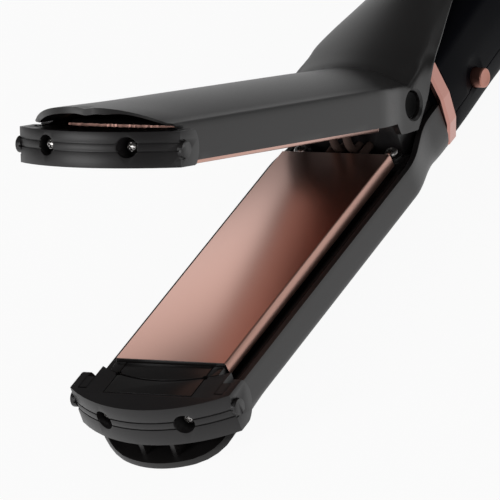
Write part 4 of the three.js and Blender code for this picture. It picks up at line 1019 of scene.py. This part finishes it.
def backPlate():
    # thin copper sheet: its sheared front edge is ragged and bent down onto the carrier
    random.seed(backSheet["seed"])
    rings = []
    for k, (y, depth, half) in enumerate(backSheet["rows"]):
        ring = []
        for i in range(backSheet["across"] + 1):
            x = mix(-half, half, i / backSheet["across"])
            ragged = random.uniform(-backSheet["ragged"], backSheet["ragged"]) if k == 0 else 0
            lift = random.uniform(0, backSheet["lift"]) if k == 0 else 0
            ring.append(Vector((x, y + ragged, closeUp + depth + lift)) * mm)
        rings.append(ring)
    piece = sheetPiece("upper_back_plate_sheared", rings)
    if piece.data.polygons[0].normal.z < 0:
        piece.data.flip_normals()
    applyModifier(piece, "SOLIDIFY", thickness=backSheet["thick"] * mm, offset=1)
    settle(piece)
    finishPiece(piece, "upper_back_plate", angle=25)
    # the edge's lighter copper is a painted highlight
    piece.data.materials[0] = finish["sheared_copper_painted_highlight"]
    # its faces get the dull black of painted shade under the canopy, so only the cut edge, with its painted
    # highlight, shines
    piece.data.materials.append(finish["painted_shade_black"])
    for face in piece.data.polygons:
        face.material_index = 0 if face.normal.dot(armForward) > 0.8 else 1


screws()
leads()
spring()
backPlate()


# Floor, light and camera

studio = {
    # the room is dim, the floor white paper; its mirror image fades across the floor, in metres
    "floorSize": 6.0, "floorColour": "#f2f2f2", "floorRoughness": 0.9, "floorSeen": 0.94,
    "mirrorFade": {"From Min": 0.05, "From Max": 0.22, "To Min": 1.0, "To Max": 0.5},
    "worldDiffuse": 0.26, "worldGlossy": 0.1, "aim": (0, -0.05, 0.03),
}


def addFloor():
    deselectAll()
    bpy.ops.mesh.primitive_plane_add(size=studio["floorSize"], location=(0, 0, frameLow.z))
    floor = bpy.context.object
    floor.name = "studio_floor"
    material, tree, shader = newMaterial("paperWhite", {
        "Base Color": linearColour(studio["floorColour"]), "Roughness": studio["floorRoughness"],
    })
    light = addNode(tree, "ShaderNodeEmission", {"Color": (1, 1, 1, 1), "Strength": 1.0})
    path = addNode(tree, "ShaderNodeLightPath")
    seen = addNode(tree, "ShaderNodeMath", {"operation": "MULTIPLY", 1: studio["floorSeen"]},
                   {0: path.outputs["Is Camera Ray"]})
    spot = addNode(tree, "ShaderNodeTexCoord").outputs["Object"]
    across = addNode(tree, "ShaderNodeSeparateXYZ", links={0: spot})
    fade = addNode(tree, "ShaderNodeMapRange", studio["mirrorFade"], {"Value": across.outputs["X"]})
    glossy = addNode(tree, "ShaderNodeMath", {"operation": "MULTIPLY"},
                     {0: fade.outputs[0], 1: path.outputs["Is Glossy Ray"]})
    mirrored = addNode(tree, "ShaderNodeMath", {"operation": "MAXIMUM"},
                       {0: seen.outputs[0], 1: glossy.outputs[0]})
    blend = addNode(tree, "ShaderNodeMixShader",
                    links={0: mirrored.outputs[0], 1: shader.outputs[0], 2: light.outputs[0]})
    tree.links.new(blend.outputs[0], tree.nodes["Material Output"].inputs["Surface"])
    floor.data.materials.append(material)


def addWorld():
    world = bpy.data.worlds.new("studioWorld")
    bpy.context.scene.world = world
    world.use_nodes = True
    tree = world.node_tree
    background = tree.nodes["Background"]
    background.inputs["Color"].default_value = (1, 1, 1, 1)
    path = addNode(tree, "ShaderNodeLightPath")
    direct = addNode(tree, "ShaderNodeMath", {"operation": "MAXIMUM"},
                     {0: path.outputs["Is Camera Ray"], 1: path.outputs["Is Transmission Ray"]})
    room = addNode(tree, "ShaderNodeMapRange",
                   {"To Min": studio["worldDiffuse"], "To Max": studio["worldGlossy"]},
                   {"Value": path.outputs["Is Glossy Ray"]})
    strength = addNode(tree, "ShaderNodeMapRange", {"To Max": 1.0},
                       {"Value": direct.outputs[0], "To Min": room.outputs["Result"]})
    tree.links.new(strength.outputs["Result"], background.inputs["Strength"])


def addLamp(name, place, size, power):
    lamp = bpy.data.lights.new(name, "AREA")
    lamp.shape = "RECTANGLE"
    lamp.size, lamp.size_y = size
    lamp.energy = power
    holder = bpy.data.objects.new(name, lamp)
    bpy.context.scene.collection.objects.link(holder)
    holder.location = place
    direction = Vector(studio["aim"]) - Vector(place)
    holder.rotation_euler = direction.to_track_quat("-Z", "Y").to_euler()
    return holder


def lightOnly(lamp, wanted):
    # the lamp is screened from every piece but the wanted ones
    lit = bpy.data.collections.new(lamp.name + "_receivers")
    for piece in bpy.context.scene.objects:
        if piece.type == "MESH" and wanted(piece):
            lit.objects.link(piece)
    lamp.light_linking.receiver_collection = lit


def coppered(piece):
    return finish["copper_plate"].name in piece.data.materials


def named(start):
    return lambda piece: piece.name.startswith(start)


lamps = [
    # name, place and size in metres, power in watts, and the pieces that it is kept for
    ["card_behind", (-0.62, 0.70, 0.60), (1.0, 0.7), 2.5, coppered],
    ["fold_card", (0.78, 0.6, 0.06), (0.6, 0.3), 0.5, coppered],
    ["rim_behind_left", (-0.55, 0.5, 0.28), (0.3, 0.5), 0.5, named("upper_shell")],
    ["rim_behind_right", (0.36, 0.58, 0.54), (0.25, 0.25), 0.3, named("upper_shell")],
    ["edge_card", (0.72, -0.98, 0.72), (0.4, 0.3), 16, named("upper_back_plate_sheared")],
    ["key_right", (1.0, -0.75, 0.4), (0.7, 0.5), 1.6, None],
    ["fill_left", (-0.66, -1.05, 0.46), (0.6, 0.4), 4.4, None],
]


view = {
    # degrees and millimetres, and clipEnd in metres
    "azimuth": 38.986, "elevation": 30.032, "roll": -19.725,
    "distance": 2459.5, "focalPixels": 8240.3, "target": (-8.148, -60.0, 17.130),
    "sensor": 36, "picturePixels": 500, "clipEnd": 20,
}


def addCamera():
    azimuth, elevation, roll = (math.radians(view[key]) for key in ("azimuth", "elevation", "roll"))
    back = Vector((math.sin(azimuth) * math.cos(elevation), -math.cos(azimuth) * math.cos(elevation),
                   math.sin(elevation)))
    level = Vector((math.cos(azimuth), math.sin(azimuth), 0))
    upright = back.cross(level)
    right = math.cos(roll) * level + math.sin(roll) * upright
    up = -math.sin(roll) * level + math.cos(roll) * upright
    camera = bpy.data.cameras.new("photo_camera")
    camera.sensor_width = view["sensor"]
    camera.lens = view["sensor"] * view["focalPixels"] / view["picturePixels"]
    camera.clip_end = view["clipEnd"]
    holder = bpy.data.objects.new("photo_camera", camera)
    bpy.context.scene.collection.objects.link(holder)
    place = Vector(view["target"]) * mm + back * view["distance"] * mm
    turn = Matrix((right, up, back)).transposed().to_4x4()
    holder.matrix_world = Matrix.Translation(place) @ turn
    bpy.context.scene.camera = holder


addFloor()
addWorld()
for name, place, size, power, wanted in lamps:
    lamp = addLamp(name, place, size, power)
    if wanted:
        lightOnly(lamp, wanted)
addCamera()
bpy.context.scene.view_settings.view_transform = "Standard"
